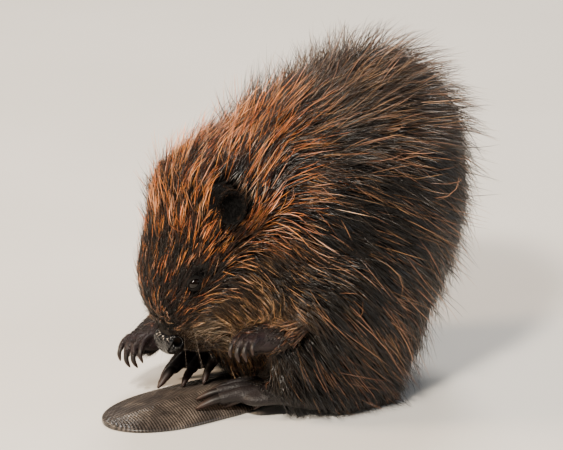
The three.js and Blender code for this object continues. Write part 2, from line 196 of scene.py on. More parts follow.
softbox("key_light", (1.3, -1.9, 2.6), 0.5, 220, "#fff3e2")
softbox("fill_light", (2.4, 3.0, 2.0), 2.2, 62, "#e6eefa")
softbox("rim_light", (-1.5, -2.4, 1.9), 0.9, 140, "#ffe2c0")
softbox("top_light", (-1.3, 1.2, 2.6), 1.0, 85, "#fff8ef")

world = bpy.data.worlds.new("studio")
bpy.context.scene.world = world
world.use_nodes = True
world.node_tree.nodes["Background"].inputs["Color"].default_value = linear("#e9ecf0")
world.node_tree.nodes["Background"].inputs["Strength"].default_value = 0.16

# ---------------------------------------------------------------- materials


def node(tree, kind, inputs=(), stops=(), **settings):
    """Adds a node; inputs maps its sockets to values or to other nodes' outputs.

    Stops are the (place, sRGB hex) pairs of a colour ramp.
    """
    made = tree.nodes.new(kind)
    for key, value in settings.items():
        setattr(made, key, value)
    if stops:
        elements = made.color_ramp.elements
        while len(elements) < len(stops):
            elements.new(0.5)
        for element, (place, colour) in zip(elements, stops):
            element.position = place
            element.color = linear(colour)
    for key, value in dict(inputs).items():
        if isinstance(value, bpy.types.NodeSocket):
            tree.links.new(value, made.inputs[key])
        else:
            made.inputs[key].default_value = value
    return made


def material(name):
    """An empty material: its tree, its output and its object coordinates."""
    made = bpy.data.materials.new(name)
    made.use_nodes = True
    made.node_tree.nodes.clear()
    tree = made.node_tree
    return made, tree, node(tree, "ShaderNodeTexCoord").outputs["Object"]


def finish(tree, shader):
    node(tree, "ShaderNodeOutputMaterial", {"Surface": shader.outputs[0]})


def hair(name, roughness, root_painted_shade, tip_painted_light, specular):
    """Hair over the skin's markings: painted shade darkens the root, painted light brightens the tip, each
    lock a little off.
    """
    made, tree, place = material(name)
    marking = node(tree, "ShaderNodeAttribute", attribute_name="marking")
    strand = node(tree, "ShaderNodeAttribute", attribute_name="strand")
    part = node(tree, "ShaderNodeSeparateXYZ", {"Vector": strand.outputs["Vector"]})
    # Painted shade and light along each lock: dark near the skin where the coat is deep, bright at the free
    # tip.
    shade = node(tree, "ShaderNodeMapRange", {"Value": part.outputs["X"], "To Min": root_painted_shade,
                                              "To Max": tip_painted_light}, interpolation_type="SMOOTHSTEP")
    # Hairs within a lock show as fine streaks about 0.6 mm apart.
    streaks = node(tree, "ShaderNodeTexNoise", {"Vector": place, "Scale": 900, "Detail": 2})
    own = node(tree, "ShaderNodeMapRange", {"Value": streaks.outputs["Fac"], "From Min": 0.3,
                                            "From Max": 0.7, "To Min": 0.78, "To Max": 1.22})
    value = node(tree, "ShaderNodeMath", {0: shade.outputs[0], 1: own.outputs[0]}, operation="MULTIPLY")
    hue = node(tree, "ShaderNodeMapRange", {"Value": part.outputs["Y"], "To Min": 0.485, "To Max": 0.51})
    colour = node(tree, "ShaderNodeHueSaturation", {
        "Color": marking.outputs["Color"], "Value": value.outputs[0], "Hue": hue.outputs[0]})
    bump = node(tree, "ShaderNodeBump", {"Height": streaks.outputs["Fac"], "Strength": 0.15,
                                         "Distance": 0.0003})
    shader = node(tree, "ShaderNodeBsdfPrincipled", {
        "Base Color": colour.outputs["Color"], "Roughness": roughness, "IOR": 1.55,
        "Specular IOR Level": specular, "Normal": bump.outputs["Normal"]})
    finish(tree, shader)
    return made


# Wet guard hair is keratin: coarse, straight and glossy, so that it glints along its length; painted shade at
# its root, painted light at its tip.
GUARD_HAIR = hair("wet_guard_hair", 0.28, 0.12, 1.6, 0.5)
# Underfur is fine, crimped and matt, with painted shade that is darkest near the skin.
UNDERFUR = hair("soaked_underfur", 0.6, 0.12, 1.0, 0.1)


def hide_material():
    """Tanned hide under the coat, and bare pebbled skin on paws, feet and ears."""
    made, tree, place = material("hide_and_bare_skin")
    marking = node(tree, "ShaderNodeAttribute", attribute_name="marking")
    mottle = node(tree, "ShaderNodeTexNoise", {"Vector": place, "Scale": 90, "Detail": 5})
    value = node(tree, "ShaderNodeMapRange", {"Value": mottle.outputs["Fac"], "From Min": 0.3,
                                              "From Max": 0.7, "To Min": 0.72, "To Max": 1.3})
    colour = node(tree, "ShaderNodeHueSaturation", {"Color": marking.outputs["Color"],
                                                    "Value": value.outputs[0]})
    # Skin on a beaver's toes is pebbled about 1.2 mm apart.
    pebbles = node(tree, "ShaderNodeTexVoronoi", {"Vector": place, "Scale": 560}, feature="F1")
    creases = node(tree, "ShaderNodeTexNoise", {"Vector": place, "Scale": 260, "Detail": 4})
    relief = node(tree, "ShaderNodeMath", {0: pebbles.outputs["Distance"], 1: creases.outputs["Fac"]},
                  operation="SUBTRACT")
    bump = node(tree, "ShaderNodeBump", {"Height": relief.outputs[0], "Strength": 0.55,
                                         "Distance": 0.0006})
    strand = node(tree, "ShaderNodeAttribute", attribute_name="strand")
    wet = node(tree, "ShaderNodeSeparateXYZ", {"Vector": strand.outputs["Vector"]})
    dry = node(tree, "ShaderNodeMapRange", {"Value": wet.outputs["X"], "To Min": 0.9, "To Max": 0.42})
    rough = node(tree, "ShaderNodeMath", {0: mottle.outputs["Fac"], 1: 0.2, 2: dry.outputs[0]},
                 operation="MULTIPLY_ADD")
    shader = node(tree, "ShaderNodeBsdfPrincipled", {
        "Base Color": colour.outputs["Color"], "Roughness": rough.outputs[0], "IOR": 1.45,
        "Specular IOR Level": 0.3, "Normal": bump.outputs["Normal"]})
    finish(tree, shader)
    return made


HIDE = hide_material()


def leather_material():
    """The nose pad: moist black leathery skin, with its cobbled grain drawn coarse enough to show."""
    made, tree, place = material("moist_nose_leather")
    grain = node(tree, "ShaderNodeTexVoronoi", {"Vector": place, "Scale": 520}, feature="F1")
    mottle = node(tree, "ShaderNodeTexNoise", {"Vector": place, "Scale": 220, "Detail": 3})
    colour = node(tree, "ShaderNodeValToRGB", {"Fac": mottle.outputs["Fac"]},
                  stops=((0.35, "#040405"), (0.7, "#0d0d10")))
    bump = node(tree, "ShaderNodeBump", {"Height": grain.outputs["Distance"], "Strength": 0.7,
                                         "Distance": 0.0006})
    shader = node(tree, "ShaderNodeBsdfPrincipled", {
        "Base Color": colour.outputs["Color"], "Roughness": 0.2, "IOR": 1.45,
        "Normal": bump.outputs["Normal"]})
    finish(tree, shader)
    return made


def claw_material():
    """Claws: dense horn, dark red-brown and translucent-looking, streaked along and polished by use."""
    made, tree, place = material("dark_claw_horn")
    streak_place = node(tree, "ShaderNodeMapping", {"Vector": place, "Scale": (1, 0.25, 1)})
    streaks = node(tree, "ShaderNodeTexNoise", {"Vector": streak_place.outputs[0], "Scale": 700, "Detail": 3})
    strand = node(tree, "ShaderNodeAttribute", attribute_name="strand")
    part = node(tree, "ShaderNodeSeparateXYZ", {"Vector": strand.outputs["Vector"]})
    mixed = node(tree, "ShaderNodeMath", {0: streaks.outputs["Fac"], 1: 0.35}, operation="MULTIPLY")
    along = node(tree, "ShaderNodeMath", {0: part.outputs["X"], 1: mixed.outputs[0]}, operation="ADD")
    colour = node(tree, "ShaderNodeValToRGB", {"Fac": along.outputs[0]},
                  stops=((0.15, "#080606"), (0.6, "#120c0b"), (1.0, "#2c1d18")))
    bump = node(tree, "ShaderNodeBump", {"Height": streaks.outputs["Fac"], "Strength": 0.25,
                                         "Distance": 0.0003})
    shader = node(tree, "ShaderNodeBsdfPrincipled", {
        "Base Color": colour.outputs["Color"], "Roughness": 0.5, "IOR": 1.42,
        "Normal": bump.outputs["Normal"]})
    finish(tree, shader)
    return made


def eye_material():
    """Glass museum eye: a very dark brown iris behind a wet, clear surface."""
    made, tree, place = material("dark_glass_eye")
    fibres = node(tree, "ShaderNodeTexNoise", {"Vector": place, "Scale": 900, "Detail": 3})
    colour = node(tree, "ShaderNodeValToRGB", {"Fac": fibres.outputs["Fac"]},
                  stops=((0.35, "#040303"), (0.75, "#160d08")))
    shader = node(tree, "ShaderNodeBsdfPrincipled", {
        "Base Color": colour.outputs["Color"], "Roughness": 0.05, "IOR": 1.336})
    finish(tree, shader)
    return made


def tail_material():
    """The tail's scales: horny and waxy, grey-brown, with painted light across each scale's crest and painted
    shade in the seams between rows.
    """
    made, tree, place = material("horny_tail_scales")
    strand = node(tree, "ShaderNodeAttribute", attribute_name="strand")
    part = node(tree, "ShaderNodeSeparateXYZ", {"Vector": strand.outputs["Vector"]})
    mottle = node(tree, "ShaderNodeTexNoise", {"Vector": place, "Scale": 45, "Detail": 5})
    base = node(tree, "ShaderNodeValToRGB", {"Fac": mottle.outputs["Fac"]},
                stops=((0.3, "#25211f"), (0.5, "#3a3430"), (0.72, "#554d46")))
    # Painted light and shade on the scales: near black in the seams between rows, twice as bright across each
    # crest.
    painted_seam_shade_and_crest_light = node(tree, "ShaderNodeMapRange", {"Value": part.outputs["X"], "To Min": 0.04, "To Max": 2.1})
    own = node(tree, "ShaderNodeMapRange", {"Value": part.outputs["Y"], "To Min": 0.8, "To Max": 1.2})
    value = node(tree, "ShaderNodeMath", {0: painted_seam_shade_and_crest_light.outputs[0], 1: own.outputs[0]}, operation="MULTIPLY")
    colour = node(tree, "ShaderNodeHueSaturation", {"Color": base.outputs["Color"],
                                                    "Value": value.outputs[0]})
    grain = node(tree, "ShaderNodeTexNoise", {"Vector": place, "Scale": 1400, "Detail": 3})
    bump = node(tree, "ShaderNodeBump", {"Height": grain.outputs["Fac"], "Strength": 0.3,
                                         "Distance": 0.0003})
    shader = node(tree, "ShaderNodeBsdfPrincipled", {
        "Base Color": colour.outputs["Color"], "Roughness": 0.32, "IOR": 1.5,
        "Normal": bump.outputs["Normal"]})
    finish(tree, shader)
    return made


def floor_material():
    """Matt painted board: pale warm grey, with the faint unevenness of a rolled coat."""
    made, tree, place = material("pale_painted_floor")
    cloud = node(tree, "ShaderNodeTexNoise", {"Vector": place, "Scale": 3, "Detail": 3})
    colour = node(tree, "ShaderNodeValToRGB", {"Fac": cloud.outputs["Fac"]},
                  stops=((0.3, "#d3d0ca"), (0.7, "#dad7d2")))
    shader = node(tree, "ShaderNodeBsdfPrincipled", {"Base Color": colour.outputs["Color"],
                                                     "Roughness": 0.75})
    finish(tree, shader)
    return made


# ---------------------------------------------------------------- pieces


def piece(name, points, faces, finish_with, **attributes):
    """A mesh object from points in mm and arrays of faces, one array for each number of corners."""
    mesh = bpy.data.meshes.new(name)
    corners = np.concatenate([f.ravel() for f in faces]).astype(np.int32)
    sizes = np.concatenate([np.full(len(f), f.shape[1]) for f in faces])
    starts = np.concatenate([[0], np.cumsum(sizes)[:-1]]).astype(np.int32)
    mesh.vertices.add(len(points))
    mesh.vertices.foreach_set("co", ((points + SHIFT) * MM).astype(np.float32).ravel())
    mesh.loops.add(len(corners))
    mesh.loops.foreach_set("vertex_index", corners)
    mesh.polygons.add(len(sizes))
    mesh.polygons.foreach_set("loop_start", starts)
    mesh.update(calc_edges=True)
    mesh.shade_smooth()
    for key, values in attributes.items():
        if key == "OFBake":
            layer = mesh.uv_layers.new(name=key)
            layer.data.foreach_set("uv", values[corners].astype(np.float32).ravel())
        elif key == "marking":
            layer = mesh.color_attributes.new(name=key, type="FLOAT_COLOR", domain="POINT")
            rgba = np.concatenate([values, np.ones((len(values), 1))], axis=1)
            layer.data.foreach_set("color", rgba.astype(np.float32).ravel())
        else:
            layer = mesh.attributes.new(name=key, type="FLOAT_VECTOR", domain="POINT")
            layer.data.foreach_set("vector", values.astype(np.float32).ravel())
    mesh.materials.append(finish_with)
    made = bpy.data.objects.new(name, mesh)
    bpy.context.scene.collection.objects.link(made)
    return made


def turned_out(points, quads):
    """Quads turned so that the closed shape's faces point outwards."""
    a, b, c, d = (points[quads[:, k]] for k in range(4))
    volume = np.einsum("ij,ij->", a, np.cross(b, c)) + np.einsum("ij,ij->", a, np.cross(c, d))
    return quads if volume > 0 else quads[:, ::-1]


# ---------------------------------------------------------------- fields
# A field takes points and gives about the distance in mm to a surface, negative inside it.


def mass(at, size, tip=0.0, paired=False):
    """An ellipsoid with its half sizes, tipped about X. A paired one lies on both sides."""
    c, s = math.cos(math.radians(tip)), math.sin(math.radians(tip))

    def field(p):
        x = np.abs(p[:, 0]) if paired else p[:, 0]
        y, z = p[:, 1] - at[1], p[:, 2] - at[2]
        d = ((x - at[0]) / size[0], (y * c + z * s) / size[1], (z * c - y * s) / size[2])
        near = np.sqrt(d[0] ** 2 + d[1] ** 2 + d[2] ** 2)
        steep = np.sqrt((d[0] / size[0]) ** 2 + (d[1] / size[1]) ** 2 + (d[2] / size[2]) ** 2)
        return near * (near - 1) / (steep + 1e-9)
    return field


def blend(a, b, soft):
    h = np.maximum(soft - np.abs(a - b), 0) / soft
    return np.minimum(a, b) - h * h * soft / 4


def on_head(side, back, crown):
    return np.array([side, 0, 0]) + NOSE_TIP + back * BACK_WAY + crown * CROWN_WAY


def head_mass(side, back, crown, size, paired=False):
    return mass(on_head(side, back, crown), size, 60, paired)


BODY_MASSES = (
    mass((0, 75, 153), (123, 105, 162), -20),  # rump
    mass((0, 8, 188), (106, 100, 104)),  # shoulders
    mass((0, 14, 92), (90, 98, 90)),  # belly
    mass((0, -22, 115), (80, 62, 75)),  # chest
    mass((80, 30, 84), (48, 78, 78), 0, True),  # thighs
    mass((80, -18, 52), (30, 44, 44), 0, True),  # knees
    mass((0, -46, 193), (84, 76, 76), 20),  # nape
    head_mass(0, 112, 10, (60, 62, 58)),  # cranium
    head_mass(0, 68, 12, (44, 50, 48)),  # brow
    head_mass(34, 88, -16, (28, 44, 38), True),  # cheeks
    head_mass(0, 40, -3, (31, 37, 31)),  # muzzle
    head_mass(15, 26, -10, (14, 21, 19), True),  # lip pads
    head_mass(0, 42, -26, (23, 36, 20)),  # lower jaw
)


def body_outline(p):
    """The outside of the coat."""
    total = np.full(len(p), 1e3)
    for one in BODY_MASSES:
        total = blend(total, one(p), 22)
    return total


def head_place(p):
    """How far back from the nose tip a point is, how far up towards the crown, and its head share."""
    back = (p - NOSE_TIP) @ BACK_WAY
    crown = (p - NOSE_TIP) @ CROWN_WAY
    head = ramp(crown, -72, -44) * ramp(back, 215, 165)
    return back, crown, head


def coat_depth(p):
    """How deep the coat is, in mm, from its outline down to the skin."""
    back, _, head = head_place(p)
    face = np.interp(back, (0, 25, 60, 100, 150, 190), (1.5, 1.8, 3.6, 6.5, 10, 12))
    body = 12.5 - 8 * ramp(p[:, 2], 60, 10)
    return lerp(body, face, head)


def pad_room(p):
    """How far the muzzle draws in beside and above the nose pad, so that the pad stands proud."""
    back, crown, head = head_place(p)
    beside = 7 * ramp(back, 32, 8) * ramp(np.abs(p[:, 0]), 7, 15) * ramp(crown, 24, 6) * ramp(crown, -32, -14)
    above = 4.5 * ramp(back, 30, 8) * ramp(crown, 2, 14)
    return head * np.maximum(beside, above)


def nape_room(p):
    """How far the soaked neck draws in behind the crown."""
    back, crown, _ = head_place(p)
    return 17 * ramp(back, 140, 195) * ramp(back, 285, 235) * ramp(crown, -55, 5)


def chain(path, wide, high=None, count=14):
    """A limb or digit: its half width and half height are lists read along a smooth path."""
    line = smooth_path(path, count)
    wide = spread(wide, count)
    high = wide if high is None else spread(high, count)
    reach = max(wide.max(), high.max()) + 8
    low, top = line.min(axis=0) - reach, line.max(axis=0) + reach

    def field(p):
        value = np.full(len(p), 1e3)
        near = np.all((p > low) & (p < top), axis=1)
        q = p[near]
        best = np.full(len(q), 1e3)
        for a, b, w0, w1, h0, h1 in zip(line, line[1:], wide, wide[1:], high, high[1:]):
            ab = b - a
            t = np.clip((q - a) @ ab / (ab @ ab), 0, 1)
            off = q - a - t[:, None] * ab
            w, h = lerp(w0, w1, t), lerp(h0, h1, t)
            flat = np.hypot(off[:, 0], off[:, 1])
            share = np.sqrt((flat / w) ** 2 + (off[:, 2] / h) ** 2)
            best = np.minimum(best, (share - 1) * np.minimum(w, h))
        value[near] = best
        return value
    return field


# ---------------------------------------------------------------- tail shape


def tail_half(share):
    tip = np.clip(1 - share / 0.3, 0, 1)
    paddle = np.maximum(0.04, np.sqrt(1 - tip ** 2.2))
    return paddle * lerp(TAIL_HALF, TAIL_ROOT_HALF, ramp(share, 0.42, 0.9))


def tail_high(share, out):
    middle = lerp(TAIL_RIM + 2, TAIL_HIGH, np.minimum(1, share / 0.3))
    root = ramp(share, 0.5, 1)
    rim = lerp(TAIL_RIM, TAIL_ROOT_HIGH * 0.5, root)
    return lerp(rim, lerp(middle, TAIL_ROOT_HIGH, root), 1 - np.abs(out) ** 2.2)


def tail_share(p):
    """The share of the tail's length and of its half width at a point."""
    share = np.clip((p[:, 1] - TAIL_TIP[1]) / (TAIL_ROOT[1] - TAIL_TIP[1]), 0, 1)
    return share, (p[:, 0] - lerp(TAIL_TIP[0], TAIL_ROOT[0], share)) / tail_half(share)


def tail_top(p):
    """The height of the tail's upper side under a point, or of the floor beside it."""
    share, out = tail_share(p)
    inside = (np.abs(out) < 1) & (p[:, 1] > TAIL_TIP[1]) & (p[:, 1] < TAIL_ROOT[1])
    return np.where(inside, tail_high(share, np.clip(out, -1, 1)), 0)


# ---------------------------------------------------------------- limbs, digits and ears

GRIP_WAY = unit(np.subtract(FOREPAW["left"]["grip"], FOREPAW["right"]["grip"]).astype(float))
GRIP_BACK = unit(np.cross((0, 0, 1), GRIP_WAY))
GRIP_UP = np.cross(GRIP_WAY, GRIP_BACK)


def round_grip(paw, offset, angle, share=1.0):
    """A place round the line that a forepaw curls about; 0 degrees is its front and 90 its top."""
    c, s = math.cos(math.radians(angle)), math.sin(math.radians(angle))
    r = paw["radius"] * share
    return np.array(paw["grip"]) + offset * GRIP_WAY - c * r * GRIP_BACK + s * r * GRIP_UP


def finger_path(paw, hand, place, to_angle):
    stops = (0, 0.3, 0.55, 0.8, 1)
    return [round_grip(paw, hand * place * FINGER_SPACING * lerp(0.85, 1.05, t),
                       lerp(FINGER_FROM, to_angle - paw["curl"], t), 0.93 if t == 1 else 1) for t in stops]


def toe_path(foot, i):
    hand = math.copysign(1, foot["heel"][0])
    ball = foot["ball"]
    root = np.array([ball[0] + hand * (i - 2) * TOE_SPACING, ball[1] + abs(i - 2) * 2, ball[2] - 2])
    tip = np.array([*foot["tips"][i], 0.0])
    tip[2] = max(4, tail_top(tip[None])[0]) + 1.6
    up = np.array([0, 0, foot["rise"]])
    return [root, lerp(root, tip, 0.4) + up, lerp(root, tip, 0.7) + up * 0.9, tip]


def flesh_of(path, claw_length):
    """The part of a digit's path that is flesh, with its claw left off."""
    line = smooth_path(path, 40)
    share = 1 - claw_length / path_length(line)
    return line[:max(4, round(share * 39) + 1)]


def on_cheek(hand, part):
    """A place on the side of the head, by how far back and how far up it is."""
    side = 0.0
    while body_outline(on_head(side, part["back"], part["crown"])[None])[0] < 0:
        side += 0.25
    return on_head(hand * (side - part["sunk"]), part["back"], part["crown"])


def frame_of(way):
    """Two directions across a way: one level, and one upright."""
    across = unit(np.cross((0, 0, 1), way))
    return across, np.cross(way, across)


def ear_field(hand):
    """A round cup with a rolled rim, 3 mm thick, open towards the way that the ear faces."""
    at = on_cheek(hand, EAR) + EAR_SET[hand]
    way = unit(np.array([hand * EAR["faces"][0], EAR["faces"][1], EAR["faces"][2]]))
    across, up = frame_of(way)

    def field(p):
        value = np.full(len(p), 1e3)
        near = np.linalg.norm(p - at, axis=1) < 32
        q = p[near] - at
        a, b, h = q @ across, q @ up, q @ way
        r = np.hypot(a / (EAR["wide"] - 1.5), b / (EAR["tall"] - 1.5))
        cup = (EAR["deep"] + 5) * np.minimum(r, 1.2) ** 2.2 - 7
        steep = 2.2 * (EAR["deep"] + 5) * np.minimum(r, 1.2) ** 1.2 / EAR["wide"]
        rim = (r - 1) * EAR["wide"]
        shell = np.abs(h - cup) / np.hypot(1, steep) - EAR_WALL
        out = np.maximum(rim, 0)
        value[near] = np.where(rim > 0, np.hypot(out, np.abs(h - cup)) - EAR_RIM, shell)
        return value

    outwards = np.array([hand, 0, 0])
    stalk = chain([at - 24 * outwards, at - 12 * outwards, at - 4 * way], (15, 13, 10.5))
    return lambda p: blend(field(p), np.maximum(stalk(p), (p - at) @ way + 4.5), 3)


def knuckled(radius, size):
    """Radii along a digit that swell at the knuckles and pinch at the folds between them."""
    return [radius * size * k for k in (1.1, 1.14, 0.95, 1.1, 0.92, 1.04, 0.88, 0.84)]


def fingers_of(name, hand):
    paw = FOREPAW[name]
    return [chain(flesh_of(finger_path(paw, hand, place, to_angle), FORE_CLAW["length"] * size),
                  knuckled(FINGER_RADIUS * 0.84, size)) for place, to_angle, size in FINGERS]


def toes_of(name):
    foot = HIND_FOOT[name]
    return [chain(flesh_of(toe_path(foot, i), HIND_CLAW["length"] * size), knuckled(TOE_RADIUS, size))
            for i, size in enumerate(TOE_SIZES)]


def webs_of(name):
    """The webs of a hind foot, each a row of thin sagging strips between two toes."""
    made = []
    for i in range(4):
        inner, outer = (smooth_path(toe_path(HIND_FOOT[name], j), 40)[2:24:2] - (0, 0, 1) for j in (i, i + 1))
        made += [chain([a, lerp(a, b, 0.5), b], [2, 1.7, 2], count=4) for a, b in zip(inner, outer)]
    return made


def forearm_of(name):
    paw = FOREPAW[name]
    elbow, wrist = np.array(paw["elbow"]), np.array(paw["wrist"])
    palm = round_grip(paw, 0, FINGER_FROM + 8)
    return chain([elbow, (elbow + wrist) / 2, wrist, palm], (19, 18, 12.5, 13), (19, 16, 11, 9.5))


def palm_of(name):
    paw = FOREPAW[name]
    wrist, palm = np.array(paw["wrist"]), round_grip(paw, 0, FINGER_FROM + 8)
    path = [wrist, (wrist + palm) / 2, palm, round_grip(paw, 0, 130)]
    return chain(path, (11, 14.5, 16, 15), (9, 9.5, 7, 5))


def sole_of(name):
    foot = HIND_FOOT[name]
    fore = lerp(np.array(foot["ball"]), np.array([*foot["tips"][2], 12]), 0.3)
    return chain([foot["heel"], foot["ankle"], foot["ball"], fore], (12, 18, 24, 19), (14, 16, 14, 8))


FOREARMS = [forearm_of(name) for name, _ in SIDES]
PAWS = [palm_of(name) for name, _ in SIDES]
SOLES = [sole_of(name) for name, _ in SIDES]
FINGER_FLESH = [f for name, hand in SIDES for f in fingers_of(name, hand)]
TOE_FLESH = [f for name, _ in SIDES for f in toes_of(name)]
WEBS = [f for name, _ in SIDES for f in webs_of(name)]
EARS = [ear_field(hand) for _, hand in SIDES]


def nearest(p, fields, soft=2.0):
    total = np.full(len(p), 1e3)
    for one in fields:
        total = blend(total, one(p), soft)
    return total


def body_skin(p):
    return body_outline(p) + coat_depth(p) + pad_room(p) + nape_room(p)


def furred(p):
    """The skin of the body and the forearms."""
    return blend(body_skin(p), nearest(p, FOREARMS), 9)


def coated(p):
    """The skin that the body's coat grows from, over the heels as well."""
    return blend(furred(p), nearest(p, SOLES), 9)


def flesh(p):
    """The whole skin before it is set down on the floor and the tail."""
    total = blend(furred(p), nearest(p, PAWS + SOLES), 9)
    total = blend(total, nearest(p, FINGER_FLESH + TOE_FLESH + WEBS, 1.4), 3)
    return blend(total, nearest(p, EARS), 3)


def skin(p):
    grounded = np.maximum(flesh(p), -p[:, 2])
    return np.maximum(grounded, tail_top(p) + 0.3 - p[:, 2])


def slope_of(field, p, step=0.5):
    """The field at each point, and the direction and rate at which it grows."""
    here = field(p)
    slope = np.stack([field(p + step * np.eye(3)[k]) - here for k in range(3)], axis=1) / step
    return here, slope


def surface_of(field, axes):
    """The closed surface of a field over a grid: one point in each cell that it crosses."""
    axes = [np.asarray(a, float) for a in axes]
    grid = np.stack(np.meshgrid(*axes, indexing="ij"), axis=-1)
    shape = grid.shape[:3]
    values = field(grid.reshape(-1, 3)).reshape(shape)
    inside = values < 0
    corners = [inside[i:shape[0] - 1 + i, j:shape[1] - 1 + j, k:shape[2] - 1 + k].astype(np.int8)
               for i, j, k in np.ndindex(2, 2, 2)]
    count = sum(corners)
    mixed = (count > 0) & (count < 8)
    cells = np.argwhere(mixed)
    number = np.full(mixed.shape, -1)
    number[mixed] = np.arange(len(cells))
    total, hits = np.zeros((len(cells), 3)), np.zeros(len(cells))
    for axis in range(3):
        for b, c in np.ndindex(2, 2):
            low = cells.copy()
            low[:, (axis + 1) % 3] += b
            low[:, (axis + 2) % 3] += c
            high = low.copy()
            high[:, axis] += 1
            va, vb = values[tuple(low.T)], values[tuple(high.T)]
            cross = (va < 0) != (vb < 0)
            t = (va / np.where(va == vb, 1, va - vb))[:, None]
            place = lerp(grid[tuple(low.T)], grid[tuple(high.T)], t)
            total[cross] += place[cross]
            hits += cross
    points = total / hits[:, None]
    for _ in range(3):
        here, slope = slope_of(field, points)
        steep = np.maximum(np.linalg.norm(slope, axis=1), 0.4)
        points -= np.clip(here / steep ** 2, -2, 2)[:, None] * slope
    quads = []
    for axis in range(3):
        low = [slice(None)] * 3
        low[axis] = slice(0, -1)
        high = [slice(None)] * 3
        high[axis] = slice(1, None)
        nodes = np.argwhere(inside[tuple(low)] != inside[tuple(high)])
        ring = []
        for b, c in ((1, 1), (0, 1), (0, 0), (1, 0)):
            cell = nodes.copy()
            cell[:, (axis + 1) % 3] -= b
            cell[:, (axis + 2) % 3] -= c
            ring.append(number[tuple(cell.T)])
        ring = np.stack(ring, axis=1)
        flip = ~inside[tuple(nodes.T)]
        ring[flip] = ring[flip][:, ::-1]
        quads.append(ring)
    quads = np.concatenate(quads)
    return points, turned_out(points, quads)


def grid_lines(first, *stretches):
    """Grid lines from a first value, with a step that lasts until each stop."""
    lines = [first]
    for stop, step in stretches:
        while lines[-1] < stop:
            lines.append(lines[-1] + step)
    return lines


SKIN_GRID = (
    grid_lines(-127, (127, 2.2)),
    grid_lines(-150, (-22, 2.1), (192, 3.6)),
    grid_lines(-2.3, (92, 2.1), (188, 3.6), (238, 2.3), (312, 3.6)),
)
skin_points, skin_quads = surface_of(skin, SKIN_GRID)

# ---------------------------------------------------------------- markings

EAR_AT = {name: on_cheek(hand, EAR) for name, hand in SIDES}
EYE_AT = {name: on_cheek(hand, EYE) for name, hand in SIDES}

# Each region's underfur, wet locks and long guard hairs.
TONES = {
    "flank": ("#0f0c0a", "#30271e", "#90694a"),
    "wool": ("#1a130e", "#3a2d25", "#80644d"),
    "rust": ("#090604", "#331b0d", "#c97a38"),
    "cheek": ("#1a140f", "#4a3928", "#b88b5c"),
    "gold": ("#261c13", "#5f4a33", "#b98b5a"),
    "muzzle": ("#0b0a0a", "#1b1816", "#8a6448"),
    "tan": ("#3a2412", "#875324", "#c06a35"),
    "lip": ("#2a211a", "#6a5a49", "#b8a58c"),
    "limb": ("#0a0706", "#19110d", "#5a3a29"),
    "ear": ("#040303", "#31241b", "#6d523d"),
}
PAINTED_GLINT_COLOUR = "#f0c4a0"  # painted glint: a pale highlight colour mixed into some long hairs on the head
PAW_SKIN, FOOT_SKIN, EAR_SKIN, LID_SKIN = "#21181a", "#1e1a1b", "#050404", "#040303"


def toward(colour, hex_colour, share):
    return lerp(colour, np.array(linear(hex_colour)[:3]), share[:, None])


def marking(p, layer):
    """The coat's colour at each point; layer 0 is the skin and underfur, 1 the locks, 2 the long hairs."""
    back, crown, _ = head_place(p)
    patchy = drift(p, 26) * 0.5 + drift(p, 11, 1) * 0.5
    above_jaw = ramp(crown, -70, -40)
    shares = {
        "wool": ramp(p[:, 2] + 25 * patchy, 225, 275) * ramp(p[:, 1], -25, 25) * 0.9,
        "limb": ramp(p[:, 2], 75, 45) * 0.6,
        "rust": ramp(crown + 18 * patchy, -28, 22) * ramp(back + 20 * patchy, 262, 212),
        "cheek": ramp(crown + 8 * patchy, 30, 2) * ramp(back + 10 * patchy, 150, 105) * above_jaw,
        "gold": ramp(back + 10 * patchy, 78, 50) * ramp(crown + 6 * patchy, 14, -8) * above_jaw,
        "muzzle": ramp(back + 8 * patchy, 34, 16) * ramp(crown, 2, 14),
        "lip": 0.8 * (ramp(back + 6 * patchy, 46, 32) * ramp(crown + 6 * patchy, 9, -2)
                      * ramp(crown, -50, -30)),
    }
    colour = np.tile(np.array(linear(TONES["flank"][layer])[:3]), (len(p), 1))
    for region, share in shares.items():
        colour = toward(colour, TONES[region][layer], share)
    for name, hand in SIDES:
        by_ear = EAR_AT[name] - 16 * BACK_WAY - 24 * CROWN_WAY
        colour = toward(colour, TONES["tan"][layer], 0.8 * ramp(np.linalg.norm(p - by_ear, axis=1), 24, 8))
        ring = np.linalg.norm(p - EYE_AT[name], axis=1)
        colour = toward(colour, LID_SKIN, 0.95 * ramp(ring, 14, 9))
        to_ear = np.linalg.norm(p - EAR_AT[name] - EAR_SET[hand] - 2 * BACK_WAY, axis=1)
        colour = toward(colour, TONES["ear"][layer], ramp(to_ear, 22, 18))
    arm = ramp(nearest(p, FOREARMS) - body_skin(p), 4, -3)
    colour = toward(colour, TONES["limb"][layer], arm)
    return colour * (1 + 0.3 * patchy[:, None])


def near_parts(p):
    """The fields of what the skin covers: 0 body, 1 forearms, 2 forepaws, 3 hind feet, 4 ears."""
    return [body_skin(p), nearest(p, FOREARMS), nearest(p, PAWS + FINGER_FLESH),
            nearest(p, SOLES + TOE_FLESH + WEBS), nearest(p, EARS)]


def skin_colour(p):
    """The coat's markings on the hide with the bare skin's own colours, and how bare each point is."""
    near = near_parts(p)
    colour = marking(p, 0)
    coat = np.minimum(near[0], near[1])
    for bare, tone in ((near[2], PAW_SKIN), (near[3], FOOT_SKIN), (near[4], EAR_SKIN)):
        colour = toward(colour, tone, ramp(bare - coat, 3, -3))
    return colour, ramp(np.minimum(near[2], near[3]) - coat, 3, -3)


# ---------------------------------------------------------------- coat


